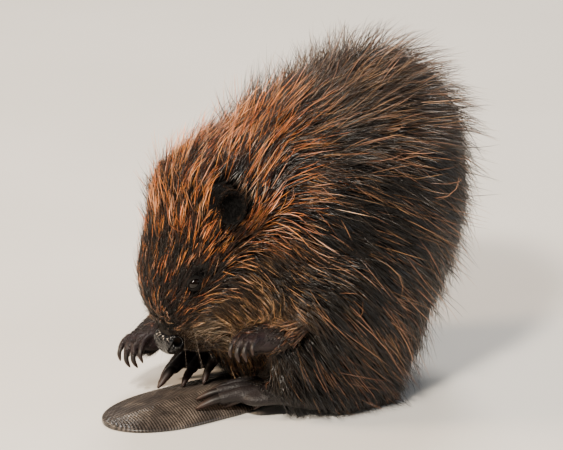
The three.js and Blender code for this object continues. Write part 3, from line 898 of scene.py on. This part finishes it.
def lie(p):
    """Which way the coat lies: up the face and over the crown, then back and down to the tail."""
    back, crown, _ = head_place(p)
    cheek = ramp(crown, 26, -6) * ramp(back, 8, 60)
    on_face = (1 - 1.15 * cheek[:, None]) * BACK_WAY - 1.6 * cheek[:, None] * CROWN_WAY
    low = ramp(p[:, 2], 190, 90)
    on_body = np.stack([0.12 * np.sign(p[:, 0]), 0.85 - 0.35 * low, -0.5 - 0.45 * low], axis=1)
    ahead = ramp(crown, -62, -24) * ramp(back, 285, 205)
    return unit(lerp(on_body, on_face, ahead[:, None]))


def lie_on_arms(p):
    left, right = (unit(np.subtract(FOREPAW[name]["wrist"], FOREPAW[name]["elbow"]).astype(float))
                   for name, _ in SIDES)
    return np.where(p[:, :1] > 0, left, right)


def lie_on_paws(p):
    return np.tile(unit(-GRIP_BACK - 0.4 * GRIP_UP), (len(p), 1))


def lie_on_feet(p):
    return np.tile(unit(np.array([0, -1.0, -0.1])), (len(p), 1))


def lie_on_ears(p):
    return np.tile(unit(0.4 * BACK_WAY + np.array([0, 0, 0.6])), (len(p), 1))


COAT_BOX = np.array([(-143, -200, 1.7), (143, 205, 325)])  # hairs are held inside these corners
ROOT_SUNK = 0.8  # how deep a hair starts in the skin


def grow(roots, way, length, rise, wander, field, steps):
    """Centre lines of locks: each runs along the lie of the coat while it rises off the skin."""
    line = [roots - ROOT_SUNK * unit(slope_of(field, roots)[1])]
    here = roots
    heading = way(roots) + wander
    for i in range(1, steps + 1):
        normal = unit(slope_of(field, here)[1])
        flow = unit(heading - np.sum(heading * normal, axis=1, keepdims=True) * normal)
        ahead = here + flow * (length / steps)[:, None]
        value, slope = slope_of(field, ahead)
        lifted = np.clip(rise * (i / steps) ** 0.75 - value, -8, 8)
        here = ahead + lifted[:, None] * unit(slope)
        line.append(here)
    return np.stack(line, axis=1)


def stand(roots, way, length, rise, wander, field, steps):
    """Centre lines of stiff wet spikes: each stands off the skin and bows a little along the lie."""
    normal = unit(slope_of(field, roots)[1])
    heading = way(roots) + wander
    flow = unit(heading - np.sum(heading * normal, axis=1, keepdims=True) * normal)
    lean = np.clip(rise / length, 0.1, 0.9)[:, None]
    first = unit(flow * (1 - lean) + normal * lean)
    t = np.linspace(0, 1, steps + 1)[None, :, None]
    run = length[:, None, None] * (t * first[:, None] + 0.12 * t ** 2 * (flow - normal)[:, None])
    return (roots - ROOT_SUNK * normal)[:, None] + run


def clumped(line, guide_every, pull, seed):
    """Draws each lock's tip towards the lock at the middle of its clump, as wet hair gathers."""
    count = len(line)
    picks = np.random.default_rng(seed).choice(count, max(2, count // guide_every), replace=False)
    tree = KDTree(len(picks))
    for i, pick in enumerate(picks):
        tree.insert(line[pick, 0], i)
    tree.balance()
    guide = picks[[tree.find(root)[1] for root in line[:, 0]]]
    share = np.linspace(0, 1, line.shape[1])[None, :, None] ** 1.4 * pull[:, None, None]
    drawn = line[guide] + 0.12 * (line[:, :1] - line[guide][:, :1])
    return np.clip(lerp(line, drawn, share), COAT_BOX[0], COAT_BOX[1]), guide


BODY_MIDDLE = np.array([0, 15, 135])
PATCH = 0.003  # the size of one lock's patch in the bake map


def unwrap(p):
    """The skin's unwrap: each direction from the body's middle, folded out flat to a square."""
    d = p - BODY_MIDDLE
    d = d / np.abs(d).sum(axis=1, keepdims=True)
    folded = (1 - np.abs(d[:, 1::-1])) * np.where(d[:, :2] >= 0, 1, -1)
    flat = np.where(d[:, 2:] >= 0, d[:, :2], folded)
    return flat * 0.49 + 0.5


LOCK_CORNERS = ((-1, -0.35), (1, -0.35), (0, 0.7))  # across the lie of the coat, and off the skin


def lock_mesh(line, field, width, profile, own):
    """Locks as closed, tapering three-sided blades round their centre lines."""
    count, rings = len(line), line.shape[1] - 1
    along = unit(np.gradient(line, axis=1))
    normal = unit(slope_of(field, line[:, 0])[1])[:, None]
    across = unit(np.cross(along, normal))
    above = np.cross(across, along)
    half = (width[:, None] / 2 * np.array(profile)[None])[:, :-1, None]
    roll = (own - 0.5) * 1.4
    c, s = np.cos(roll)[:, None, None], np.sin(roll)[:, None, None]
    rim = [line[:, :-1] + ((x * c - y * s) * across + (x * s + y * c) * above)[:, :-1] * half
           for x, y in LOCK_CORNERS]
    rim = np.stack(rim, axis=2).reshape(count, rings * 3, 3)
    points = np.concatenate([rim, line[:, -1:]], axis=1)
    size = rings * 3 + 1
    quads = [[i * 3 + j, i * 3 + (j + 1) % 3, i * 3 + 3 + (j + 1) % 3, i * 3 + 3 + j]
             for i in range(rings - 1) for j in range(3)]
    last = (rings - 1) * 3
    tris = [[2, 1, 0]] + [[last + j, last + (j + 1) % 3, rings * 3] for j in range(3)]
    base = (np.arange(count) * size)[:, None, None]
    quads = (base + np.array(quads)[None]).reshape(-1, 4)
    tris = (base + np.array(tris)[None]).reshape(-1, 3)
    return points, quads, tris


def coat_piece(name, line, field, width, profile, colours, finish_with):
    """One coat piece; each lock has one colour and is a small patch in its bake map."""
    own = rng.uniform(0, 1, len(line))
    points, quads, tris = lock_mesh(line, field, width, profile, own)
    size, rings = points.shape[1], line.shape[1] - 1
    share = np.append(np.repeat(np.arange(rings) / rings, 3), 1.0)
    strand = np.stack([np.tile(share, (len(line), 1)), np.tile(own[:, None], (1, size)),
                       np.zeros((len(line), size))], axis=2)
    patch = np.stack([np.append(np.tile((0, 0.5, 1), rings), 0.5), share], axis=1)
    baked = unwrap(line[:, 0])[:, None] + (patch[None] - 0.5) * PATCH
    made = piece(name, points.reshape(-1, 3), [quads, tris], finish_with, strand=strand.reshape(-1, 3),
                 marking=np.repeat(colours, size, axis=0), OFBake=baked.reshape(-1, 2))
    COAT.append(made)


def scattered(count, density, seed):
    """Places spread evenly over the skin, closer together where the density at its points is high."""
    tris = np.concatenate([skin_quads[:, [0, 1, 2]], skin_quads[:, [0, 2, 3]]])
    order = np.lexsort(np.round(skin_points[tris[:, 0]] / 9).T)
    a, b, c = (skin_points[tris[order, k]] for k in range(3))
    weight = np.linalg.norm(np.cross(b - a, c - a), axis=1) * density[tris[order]].mean(axis=1)
    run = np.cumsum(weight)
    own = np.random.default_rng(seed)
    pick = np.searchsorted(run, (np.arange(count) + own.uniform(0, 1, count)) / count * run[-1])
    pick = np.minimum(pick, len(run) - 1)
    u, v = own.uniform(0, 1, (2, count, 1))
    over = u + v > 1
    u, v = np.where(over, 1 - u, u), np.where(over, 1 - v, v)
    return a[pick] + u * (b - a)[pick] + v * (c - a)[pick]


def coat_length(p):
    """How long the guard hair is: shortest at the nose, and short round the ears and low down."""
    back, _, head = head_place(p)
    face = np.interp(back, (0, 20, 45, 70, 95, 140, 190), (3.6, 6, 11, 16, 23, 33, 42))
    whole = lerp(47 - 26 * ramp(p[:, 2], 70, 12), face, head)
    to_ear = np.min([np.linalg.norm(p - EAR_AT[name], axis=1) for name, _ in SIDES], axis=0)
    return whole * (0.45 + 0.55 * ramp(to_ear, 14, 38))


def crown_and_nape(p):
    back, crown, _ = head_place(p)
    return ramp(crown, -28, 22) * ramp(back, 275, 215) * ramp(back, 75, 100)


def glow(p):
    """The share of the long hairs that are bright: most on the crown, few on the flanks, and few under the
    bowed head as painted shade.
    """
    back, crown, head = head_place(p)
    rust = ramp(crown, -28, 22) * ramp(back, 275, 215)
    haunch = ramp(p[:, 2], 160, 110) * ramp(p[:, 2], 45, 75) * ramp(p[:, 1], -40, 0)
    # Painted shade: on the front of the chest under the bowed head, few hairs are bright.
    painted_shade_under_chin = ramp(crown, -50, -75) * ramp(p[:, 1], 0, -30)
    bright = 0.13 + 0.17 * rust + 0.07 * haunch - 0.2 * head * ramp(back, 95, 45) * ramp(crown, -12, 12)
    return bright * (1 - 0.8 * painted_shade_under_chin)


COAT = []
EAR_MIDDLE = [EAR_AT[name] + EAR_SET[hand] + (6 * hand, 0, 0) + 5 * BACK_WAY for name, hand in SIDES]
EYE_MIDDLE = [at + 4 * unit(slope_of(body_outline, at[None])[1])[0] for at in EYE_AT.values()]
skin_kind = np.argmin(near_parts(skin_points), axis=0)
skin_kind[(skin_kind == 3) & (skin_points[:, 1] > -18)] = 0  # the coat hangs over the heels
skin_normal = unit(slope_of(flesh, skin_points)[1])
back, crown, head = head_place(skin_points)
shown = np.where((skin_normal[:, 2] < -0.6) & (skin_points[:, 2] < 30), 0.15, 1.0)
shown *= np.where((skin_normal[:, 1] < -0.3) & (crown < -70), 0.6, 1.0)
near_eye = np.min([np.linalg.norm(skin_points - EYE_AT[name], axis=1) for name, _ in SIDES], axis=0)
off_pad = np.stack([skin_points[:, 0] / PAD_CLEAR[0], (back - NOSE_PAD["back"]) / PAD_CLEAR[1],
                    (crown - NOSE_PAD["crown"]) / PAD_CLEAR[2]])
near_ear = np.min([np.linalg.norm(skin_points - at, axis=1) for at in EAR_AT.values()], axis=0)
free = np.where((near_eye < 6.4) | (np.linalg.norm(off_pad, axis=0) < 1) | (near_ear < 15), 0.0, 1.0)
on_body = (skin_kind == 0) * shown * free
short = head * ramp(back, 100, 55)
ear_ways = unit(np.where(skin_points[:, :1] > 0, 1, [[-1, 1, 1]]) * EAR["faces"])
inside_ear = np.sum(skin_normal * ear_ways, axis=1)
top = ramp(skin_normal[:, 2], 0.1, 0.7) * ramp(skin_points[:, 2], 215, 260)


def standing(top_share):
    """Where wet hairs stand up: all over the crown and nape, and along the top of the back."""
    return on_body * np.clip(0.12 + top_share * top + crown_and_nape(skin_points), 0, 1) * (1 - short)


def coat_layer(name, count, density, seed, way, field, steps, profile, parts, finish_with, *, length, rise,
               width, tones=(0, 1), bright=None, stray=0.0, clump=10, pull=0.5, wander=0.12, swirl=0.3,
               glint=0.06, grown=grow):
    """Grows one layer of the coat over the skin and parts it into pieces from nose to tail."""
    roots = scattered(count, density, seed)
    own = np.random.default_rng(seed + 1)
    long = length(roots) * own.uniform(0.7, 1.25, count)
    high = rise(roots) * own.uniform(0.7, 1.1, count)
    loose = own.uniform(0, 1, count) < stray
    at_crown = head_place(roots)[2] * ramp(roots[:, 1], 60, -20)
    high += loose * own.uniform(0.04, 0.26 + 0.1 * at_crown, count) * long
    off = swirl * drift_vector(roots, 32) + own.normal(0, wander, (count, 3)) * (1 + loose[:, None])
    line = grown(roots, way, long, high, off, field, steps)
    if way is lie:
        to_ear = np.min([np.linalg.norm(line - at, axis=2).min(axis=1) for at in EAR_MIDDLE], axis=0)
        to_eye = np.min([np.linalg.norm(line - at, axis=2).min(axis=1) for at in EYE_MIDDLE], axis=0)
        clear = (to_ear > EAR_CLEAR) & (to_eye > EYE_CLEAR)
        roots, line = roots[clear], line[clear]
        long, loose, at_crown, count = long[clear], loose[clear], at_crown[clear], int(clear.sum())
    line, guide = clumped(line, clump, np.where(loose, 0.1, own.uniform(0.4, 1, count) * pull), seed)
    wide = width(roots) * own.uniform(0.7, 1.3, count) * np.where(loose, 0.75, 1)
    lit = own.uniform(0, 1, count)[guide] * 0.7 + own.uniform(0, 1, count) * 0.3 < 0.15 + 0.7 * bright(roots)
    colours = np.where(lit[:, None], marking(roots, tones[1]), marking(roots, tones[0]))
    # Painted glints: some bright long hairs on the head are mixed halfway to a pale highlight colour.
    pale = lit & (own.uniform(0, 1, count) < glint * at_crown) & (tones[1] == 2)
    colours = toward(colours, PAINTED_GLINT_COLOUR, 0.5 * pale)
    colours *= own.lognormal(0, 0.32, (count, 1))
    order = np.argsort((roots - NOSE_TIP) @ np.array([0, 0.9, 0.45]))
    for i, part in enumerate(np.array_split(order, parts)):
        coat_piece(f"{name}_{i + 1}", line[part], field, wide[part], profile, colours[part], finish_with)


def arm_length(p):
    """Hair on a forearm shortens towards the bare paw."""
    to_paw = np.min([np.linalg.norm(p - FOREPAW[name]["wrist"], axis=1) for name, _ in SIDES], axis=0)
    return 8 + 20 * ramp(to_paw, 12, 45)


def about(value):
    return lambda p: np.full(len(p), float(value))


coat_layer("underfur", 23500, on_body * (1 - 0.8 * short), 11, lie, coated, 3, (1, 1, 0.6, 0), 3, UNDERFUR,
           length=lambda p: 0.6 * coat_length(p), rise=lambda p: 0.6 * coat_depth(p),
           width=lambda p: 1.3 + 0.05 * coat_length(p), bright=about(0.1), pull=0.4)
coat_layer("wet_locks", 19000, on_body * (1 - 0.7 * short), 15, lie, coated, 3, (1, 0.9, 0.5, 0), 2,
           GUARD_HAIR, length=lambda p: 0.9 * coat_length(p), rise=lambda p: 0.9 * coat_depth(p),
           width=lambda p: 0.7 + 0.026 * coat_length(p), bright=lambda p: 1.1 * glow(p), stray=0.06, clump=12,
           pull=0.9)
coat_layer("guard_hair", 18000, on_body * (1 - 0.5 * short), 21, lie, coated, 4, (1, 0.95, 0.75, 0.45, 0), 2,
           GUARD_HAIR, length=lambda p: (1.3 - 0.4 * crown_and_nape(p)) * coat_length(p),
           rise=lambda p: 1.05 * coat_depth(p), width=lambda p: 0.4 + 0.005 * coat_length(p), tones=(0, 2),
           bright=glow, stray=0.3, clump=4, pull=0.55, wander=0.12, swirl=0.16)
coat_layer("spikes", 4200, standing(0.7), 81, lie, coated, 4, (1, 0.9, 0.65, 0.35, 0), 1, GUARD_HAIR,
           length=lambda p: 1.2 * coat_length(p),
           rise=lambda p: (0.48 + 0.12 * ramp(p[:, 2], 225, 265)) * coat_length(p), grown=stand,
           width=lambda p: 0.55 + 0.007 * coat_length(p), tones=(1, 2), bright=lambda p: 1.1 * glow(p),
           clump=5, pull=0.85, wander=0.14, swirl=0.25, stray=0.12, glint=0.4)
coat_layer("strays", 900, standing(1), 85, lie, coated, 4, (1, 0.95, 0.7, 0.4, 0), 1, GUARD_HAIR,
           length=lambda p: 1.25 * coat_length(p),
           rise=lambda p: 0.8 * coat_length(p), grown=stand, width=about(0.75), tones=(0, 2),
           bright=about(0.5), clump=3, pull=0.9, wander=0.2, swirl=0.2, glint=0.4)
coat_layer("face_fur", 10000, on_body * short, 31, lie, coated, 3, (1, 0.9, 0.6, 0), 1, GUARD_HAIR,
           length=lambda p: 1.1 * coat_length(p), rise=lambda p: 1.1 * coat_depth(p),
           width=lambda p: 0.45 + 0.012 * coat_length(p),
           bright=lambda p: 0.05 + 0.6 * ramp(head_place(p)[1], 25, 0), stray=0.15, pull=0.6, clump=8,
           swirl=0.18)
coat_layer("face_strands", 1700, on_body * short * ramp(back, 4, 14), 33, lie, coated, 4,
           (1, 0.95, 0.8, 0.5, 0), 1, GUARD_HAIR, length=lambda p: 13 + 0.8 * coat_length(p),
           rise=lambda p: 1.4 * coat_depth(p), width=lambda p: 0.34 + 0.004 * coat_length(p), tones=(1, 2),
           bright=about(0.5), stray=0.3, pull=0.6, clump=3, wander=0.1, swirl=0.18, glint=0.25)
coat_layer("arm_fur", 4500, (skin_kind == 1).astype(float), 41, lie_on_arms, furred, 3, (1, 1, 0.6, 0), 1,
           GUARD_HAIR, length=arm_length, rise=lambda p: 0.32 * arm_length(p), width=about(1), tones=(1, 2),
           bright=about(0.25), pull=0.75, clump=7, stray=0.25, swirl=0.5)
coat_layer("paw_hair", 700, (skin_kind == 2) * ramp(skin_normal[:, 2], -0.2, 0.5), 51, lie_on_paws, flesh, 2,
           (1, 0.8, 0), 1, GUARD_HAIR, length=about(4.5), rise=about(0.9), width=about(0.5),
           bright=about(0.2))
coat_layer("foot_hair", 900, (skin_kind == 3) * ramp(skin_normal[:, 2], 0, 0.5) * (skin_points[:, 1] > -60),
           61, lie_on_feet, flesh, 2, (1, 0.8, 0), 1, GUARD_HAIR, length=about(6), rise=about(1.2),
           width=about(0.6), bright=about(0.3))
# The lining inside the ear cup is kept near black and the rim and outer hair lighter brown: partly the ear's
# own dark skin, partly painted shade in the hollow of the cup.
coat_layer("ear_hair", 2000, (skin_kind == 4) * (0.02 + ramp(inside_ear, 0.5, 0.1)), 71, lie_on_ears,
           flesh, 2, (1, 0.8, 0), 1, UNDERFUR, length=about(5), rise=about(1.4), width=about(0.6),
           bright=about(0.7), wander=0.3)
coat_layer("ear_lining", 1400, (skin_kind == 4) * ramp(inside_ear, 0.2, 0.5), 75, lie_on_ears, flesh, 2,
           (1, 0.8, 0), 1, UNDERFUR, length=about(4), rise=about(1), width=about(0.7), bright=about(-1),
           wander=0.3)

# ---------------------------------------------------------------- eyes, lids and nose


def ball(at, radius, rounds=28, rings=18):
    """A closed ball: points, quads and the triangles round its poles."""
    turn = 2 * np.pi * np.arange(rounds) / rounds
    rise = np.pi * np.arange(1, rings) / rings
    rim = np.stack([np.outer(np.sin(rise), np.cos(turn)), np.outer(np.sin(rise), np.sin(turn)),
                    np.outer(np.cos(rise), np.ones(rounds))], axis=2).reshape(-1, 3)
    points = np.vstack([rim, (0, 0, 1), (0, 0, -1)]) * radius + at
    return points, *tube_faces(rings - 1, rounds)


def tube_faces(rings, rounds):
    """Quads between rings of points, and the triangles to a first and a last point after them."""
    i, j = np.meshgrid(np.arange(rings - 1), np.arange(rounds), indexing="ij")
    a, b = i * rounds + j, i * rounds + (j + 1) % rounds
    quads = np.stack([a, a + rounds, b + rounds, b], axis=-1).reshape(-1, 4)
    j = np.arange(rounds)
    first, last = rings * rounds, rings * rounds + 1
    top = np.stack([np.full(rounds, first), j, (j + 1) % rounds], axis=1)
    low = (rings - 1) * rounds
    end = np.stack([np.full(rounds, last), low + (j + 1) % rounds, low + j], axis=1)
    return quads, np.concatenate([top, end])


def horn(line, wide, high, up, rounds=12):
    """A claw or hair along a line, as rings that close on points at both its ends."""
    along = unit(np.gradient(line, axis=0))
    side = unit(np.cross(up, along))
    above = np.cross(along, side)
    turn = 2 * np.pi * np.arange(rounds) / rounds
    rim = (line[:, None] + np.cos(turn)[None, :, None] * side[:, None] * np.array(wide)[:, None, None]
           + np.sin(turn)[None, :, None] * above[:, None] * np.array(high)[:, None, None])
    points = np.vstack([rim.reshape(-1, 3), line[:1], line[-1:] + along[-1:] * wide[-1] * 0.6])
    share = np.concatenate([np.repeat(np.linspace(0, 1, len(line)), rounds), [0, 1]])
    return points, *tube_faces(len(line), rounds), share


def joined(shapes):
    """Several shapes' points and faces as one."""
    starts = np.cumsum([0] + [len(shape[0]) for shape in shapes[:-1]])
    return (np.vstack([shape[0] for shape in shapes]),
            np.concatenate([shape[1] + start for shape, start in zip(shapes, starts)]),
            np.concatenate([shape[2] + start for shape, start in zip(shapes, starts)]),
            np.concatenate([shape[3] for shape in shapes]) if len(shapes[0]) > 3 else None)


def strand_of(share, seed=0):
    own = np.random.default_rng(seed).uniform(0, 1, len(share))
    return np.stack([share, own, share * 0], axis=1)


def eyelids(name):
    """A lid ring round the eyeball: two puffy lids that meet at the corners, over an almond opening."""
    at = EYE_AT[name]
    out = unit(slope_of(body_outline, at[None])[1])[0]
    out = unit(out + 0.12 * np.array([0, -1, 0]))
    along = unit(BACK_WAY - BACK_WAY @ out * out)
    up = np.cross(out, along) * (1 if np.cross(out, along) @ CROWN_WAY > 0 else -1)

    def field(p):
        q = p - at
        a, b = q @ along, q @ up
        r = np.linalg.norm(q, axis=1)
        opening = np.hypot((a - 1.3 + 0.4 * b) / 5.0, (b - 0.3) / np.where(b > 0.3, 4.0, 4.2))
        edge = (opening - 1) * 5
        shell = r - EYE["radius"] - 0.5 - 0.5 * np.exp(-((edge - 1.1) / 0.9) ** 2)
        fold = 0.12 * np.cos(np.clip(edge - 1.2, 0, 8) * 2.2) * ramp(edge, 6, 2)
        lids = blend(shell - fold, r - EYE["radius"] - 0.4, 1)
        return np.maximum(lids, np.maximum(-edge, EYE["radius"] - 0.5 - r))
    around = [grid_lines(at[k] - 10.2, (at[k] + 10.2, 0.6)) for k in range(3)]
    return surface_of(field, around)


def nose_pad(p):
    """A broad leathery pad with a middle groove and two comma-shaped nostrils at its sides."""
    q = p - on_head(0, NOSE_PAD["back"], NOSE_PAD["crown"])
    side, back, crown = q[:, 0], q @ BACK_WAY, q @ CROWN_WAY
    w, d, h = NOSE_PAD["size"]
    pad = mass((0, 0, 0), (w - 1.5, d - 0.6, h - 1.8))(np.stack([side, back, crown], axis=1))
    wings = mass((9.5, 1.5, 1), (7.8, 10, 9.8), 0, True)(np.stack([side, back, crown], axis=1))
    pad = blend(pad, wings, 3)
    hole = chain([(21, 6, 5), (15.5, 4, 2.5), (10, 3, 0), (6, 3, -2)], (4.4, 4.2, 3.4, 2), count=8)
    slit = chain([(16, 3, 5), (15, -3, 5.5), (12, -8, 4)], (2.4, 1.8, 1.0), count=8)
    beside = np.stack([np.abs(side), back, crown], axis=1)
    nostril = blend(hole(beside), slit(beside), 1.5)
    pad = -blend(-pad, nostril, 1.2)
    groove = np.hypot(side, np.maximum(np.abs(crown + 2) - 7, 0)) - 1.3
    return -blend(-pad, np.maximum(groove, back), 1.5)


pad_at = on_head(0, NOSE_PAD["back"], NOSE_PAD["crown"])
pad_grid = [grid_lines(pad_at[k] - 21, (pad_at[k] + 21, 0.8)) for k in range(3)]
pad_points, pad_quads = surface_of(nose_pad, pad_grid)
LEATHER, HORN, GLASS, SCALES = leather_material(), claw_material(), eye_material(), tail_material()
pieces = [(piece("nose_pad", pad_points, [pad_quads], LEATHER), ("nose",), "nose")]
for name, _ in SIDES:
    points, quads, tris = ball(EYE_AT[name], EYE["radius"])
    pieces.append((piece(f"eyeball_{name}", points, [quads, tris], GLASS), (f"eye_{name}",), "eye"))
    lid_points, lid_quads = eyelids(name)
    lids = piece(f"eyelids_{name}", lid_points, [lid_quads], HIDE,
                 marking=np.tile(np.array(linear(LID_SKIN)[:3]), (len(lid_points), 1)),
                 strand=strand_of(np.full(len(lid_points), 0.1)))
    pieces.append((lids, (), "dark_coat"))

# ---------------------------------------------------------------- claws


def claw(path, kind, size, up):
    """A claw that starts inside its digit: oval, bowed, and blunt at the tip."""
    whole = smooth_path(path, 60)
    share = 1 - (kind["length"] * size + CLAW_ROOT) / path_length(whole)
    line = smooth_path(whole[round(share * 59):], 11)
    t = np.linspace(0, 1, 11)
    line = line + np.outer(np.sin(np.pi * t) * kind["length"] * size * 0.05, up)
    taper = np.interp(t, (0, 0.15, 0.5, 0.8, 1), (0.92, 1, 0.93, 0.68, 0.26)) * size
    return horn(line, taper * kind["wide"], taper * kind["high"], np.array(up, float))


for name, hand in SIDES:
    paw, foot = FOREPAW[name], HIND_FOOT[name]
    made = [claw(finger_path(paw, hand, place, angle), FORE_CLAW, size, -GRIP_BACK)
            for place, angle, size in FINGERS]
    points, quads, tris, share = joined(made)
    claws = piece(f"fore_claws_{name}", points, [quads, tris], HORN, strand=strand_of(share))
    pieces.append((claws, tuple(f"fore_claw_{name}_{i}" for i in range(1, 5)), "claw"))
    made = [claw(toe_path(foot, i), HIND_CLAW, size, (0, 0, 1)) for i, size in enumerate(TOE_SIZES)]
    points, quads, tris, share = joined(made)
    claws = piece(f"hind_claws_{name}", points, [quads, tris], HORN, strand=strand_of(share))
    pieces.append((claws, tuple(f"hind_claw_{name}_{i}" for i in range(1, 6)), "claw"))

# ---------------------------------------------------------------- tail

SCALE_PITCH, SCALE_WIDE, SCALE_HIGH = 2.8, 4.6, 0.9  # mm along and across the tail, and off it


def tail_skin():
    """The tail's paddle: overlapping scales in bowed rows above and below, and a low middle ridge."""
    stations = np.array(grid_lines(TAIL_TIP[1] + 0.4, (-60, 0.7), (TAIL_ROOT[1], 3.2)))
    across = np.linspace(-1, 1, 97)
    y, out = np.meshgrid(np.minimum(stations, TAIL_ROOT[1]), across, indexing="ij")
    share = (y - TAIL_TIP[1]) / (TAIL_ROOT[1] - TAIL_TIP[1])
    half = tail_half(share) - 0.6
    x = lerp(TAIL_TIP[0], TAIL_ROOT[0], share) + out * half
    wave = drift(np.stack([x.ravel(), y.ravel(), x.ravel() * 0], axis=1), 14).reshape(x.shape)
    run = (y - 4.5 * (1 - out ** 2) + 0.8 * wave) / SCALE_PITCH
    row = np.floor(run)
    column = out * half / SCALE_WIDE + 0.5 * (row % 2) + 0.06 * wave
    u, v = run - row, column - np.floor(column)
    dome = (1 - 0.6 * np.abs(2 * v - 1) ** 4) * np.clip(u / 0.22, 0, 1) * (1 - 0.55 * u) / 0.82
    own = np.random.default_rng(5).uniform(0, 1, 4096)[(row * 37 + np.floor(column) * 11).astype(int) % 4096]
    edge = ramp(1 - np.abs(out), 0, 0.06)
    relief = (SCALE_HIGH * dome + 1.0 * np.exp(-(out / 0.09) ** 2) - 0.2) * edge
    top = tail_high(share, out) - SCALE_HIGH + relief
    upper = np.stack([x, y, top], axis=2)
    lower = np.stack([x, y, np.maximum(0.0, 0.9 - SCALE_HIGH * dome * edge - 0.35)], axis=2)
    ring = np.concatenate([upper, lower[:, ::-1]], axis=1)
    rounds = ring.shape[1]
    quads, tris = tube_faces(len(stations), rounds)
    points = np.vstack([ring.reshape(-1, 3), ring[0].mean(axis=0), ring[-1].mean(axis=0)])
    # Painted light and shade for the scale rows: 1 across each scale's crest, 0 in the seams between rows.
    tone = np.stack([ramp(np.sin(np.pi * np.clip(u * 1.08, 0, 1)), 0.35, 0.95), own, dome * 0], axis=2)
    tone = np.concatenate([tone, tone[:, ::-1]], axis=1).reshape(-1, 3)
    return points, quads, tris, np.vstack([tone, (0, 0.5, 0), (0, 0.5, 0)])


points, quads, tris, tone = tail_skin()
tail = piece("tail_paddle", points, [quads, tris], SCALES, strand=tone)
pieces.append((tail, ("tail",), "tail_scales"))

# ---------------------------------------------------------------- whiskers


def whiskers():
    """Long stiff bristles off the lip pads, pale or dark, drooping at the tips."""
    own = np.random.default_rng(91)
    made, tones = [], []
    for _, hand in SIDES:
        for _ in range(WHISKERS_A_SIDE):
            side = hand * own.uniform(15, 29)
            root = on_head(side, own.uniform(10, 34), own.uniform(-14, 6))
            out = unit(slope_of(body_outline, root[None])[1])[0]
            root = root - out * body_outline(root[None])[0] - 2 * out
            way = out + 0.4 * BACK_WAY * own.uniform(0, 1) + np.array([0, 0, -0.35]) + own.normal(0, 0.3, 3)
            way = unit(way)
            long = own.uniform(20, 50)
            t = np.linspace(0, 1, 7)[:, None]
            line = root + way * long * t + np.array([0, 0.1, -0.9]) * long * 0.3 * t ** 2
            radius = np.linspace(0.11, 0.04, 7)
            made.append(horn(line, radius, radius, np.array([0.1, 0.2, 1.0]), rounds=4))
            tone = np.array(linear("#5e554d" if own.uniform() < 0.5 else "#1c1714")[:3])
            tones.append(np.tile(tone, (len(made[-1][0]), 1)))
    return joined(made), np.vstack(tones)


(points, quads, tris, share), tones = whiskers()
bristles = piece("whiskers", points, [quads, tris], GUARD_HAIR, strand=strand_of(share * 0.3 + 0.6),
                 marking=tones)
pieces.append((bristles, (), "bright_coat"))

# ---------------------------------------------------------------- the skin, the floor and what rides

hide_colour, bare = skin_colour(skin_points)
hide = piece("skin", skin_points, [skin_quads], HIDE, marking=hide_colour, strand=strand_of(bare))
pieces.append((hide, ("head", "neck", "trunk", *[f"{part}_{name}" for name, _ in SIDES for part in
               ("ear", "foreleg", "forepaw", "haunch", "hind_foot")]), "dark_coat"))
pieces += [(made, (), "dark_coat") for made in COAT]

for made, stands_for, slot in pieces:
    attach(made, "root")
    if stands_for:
        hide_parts(*stands_for)

FLOOR_HALF = 6  # metres
board = bpy.data.meshes.new("floor")
board.from_pydata([(x * FLOOR_HALF, y * FLOOR_HALF, 0) for x, y in ((-1, -1), (1, -1), (1, 1), (-1, 1))],
                  [], [(0, 1, 2, 3)])
board.materials.append(floor_material())
floor = bpy.data.objects.new("floor", board)
bpy.context.scene.collection.objects.link(floor)
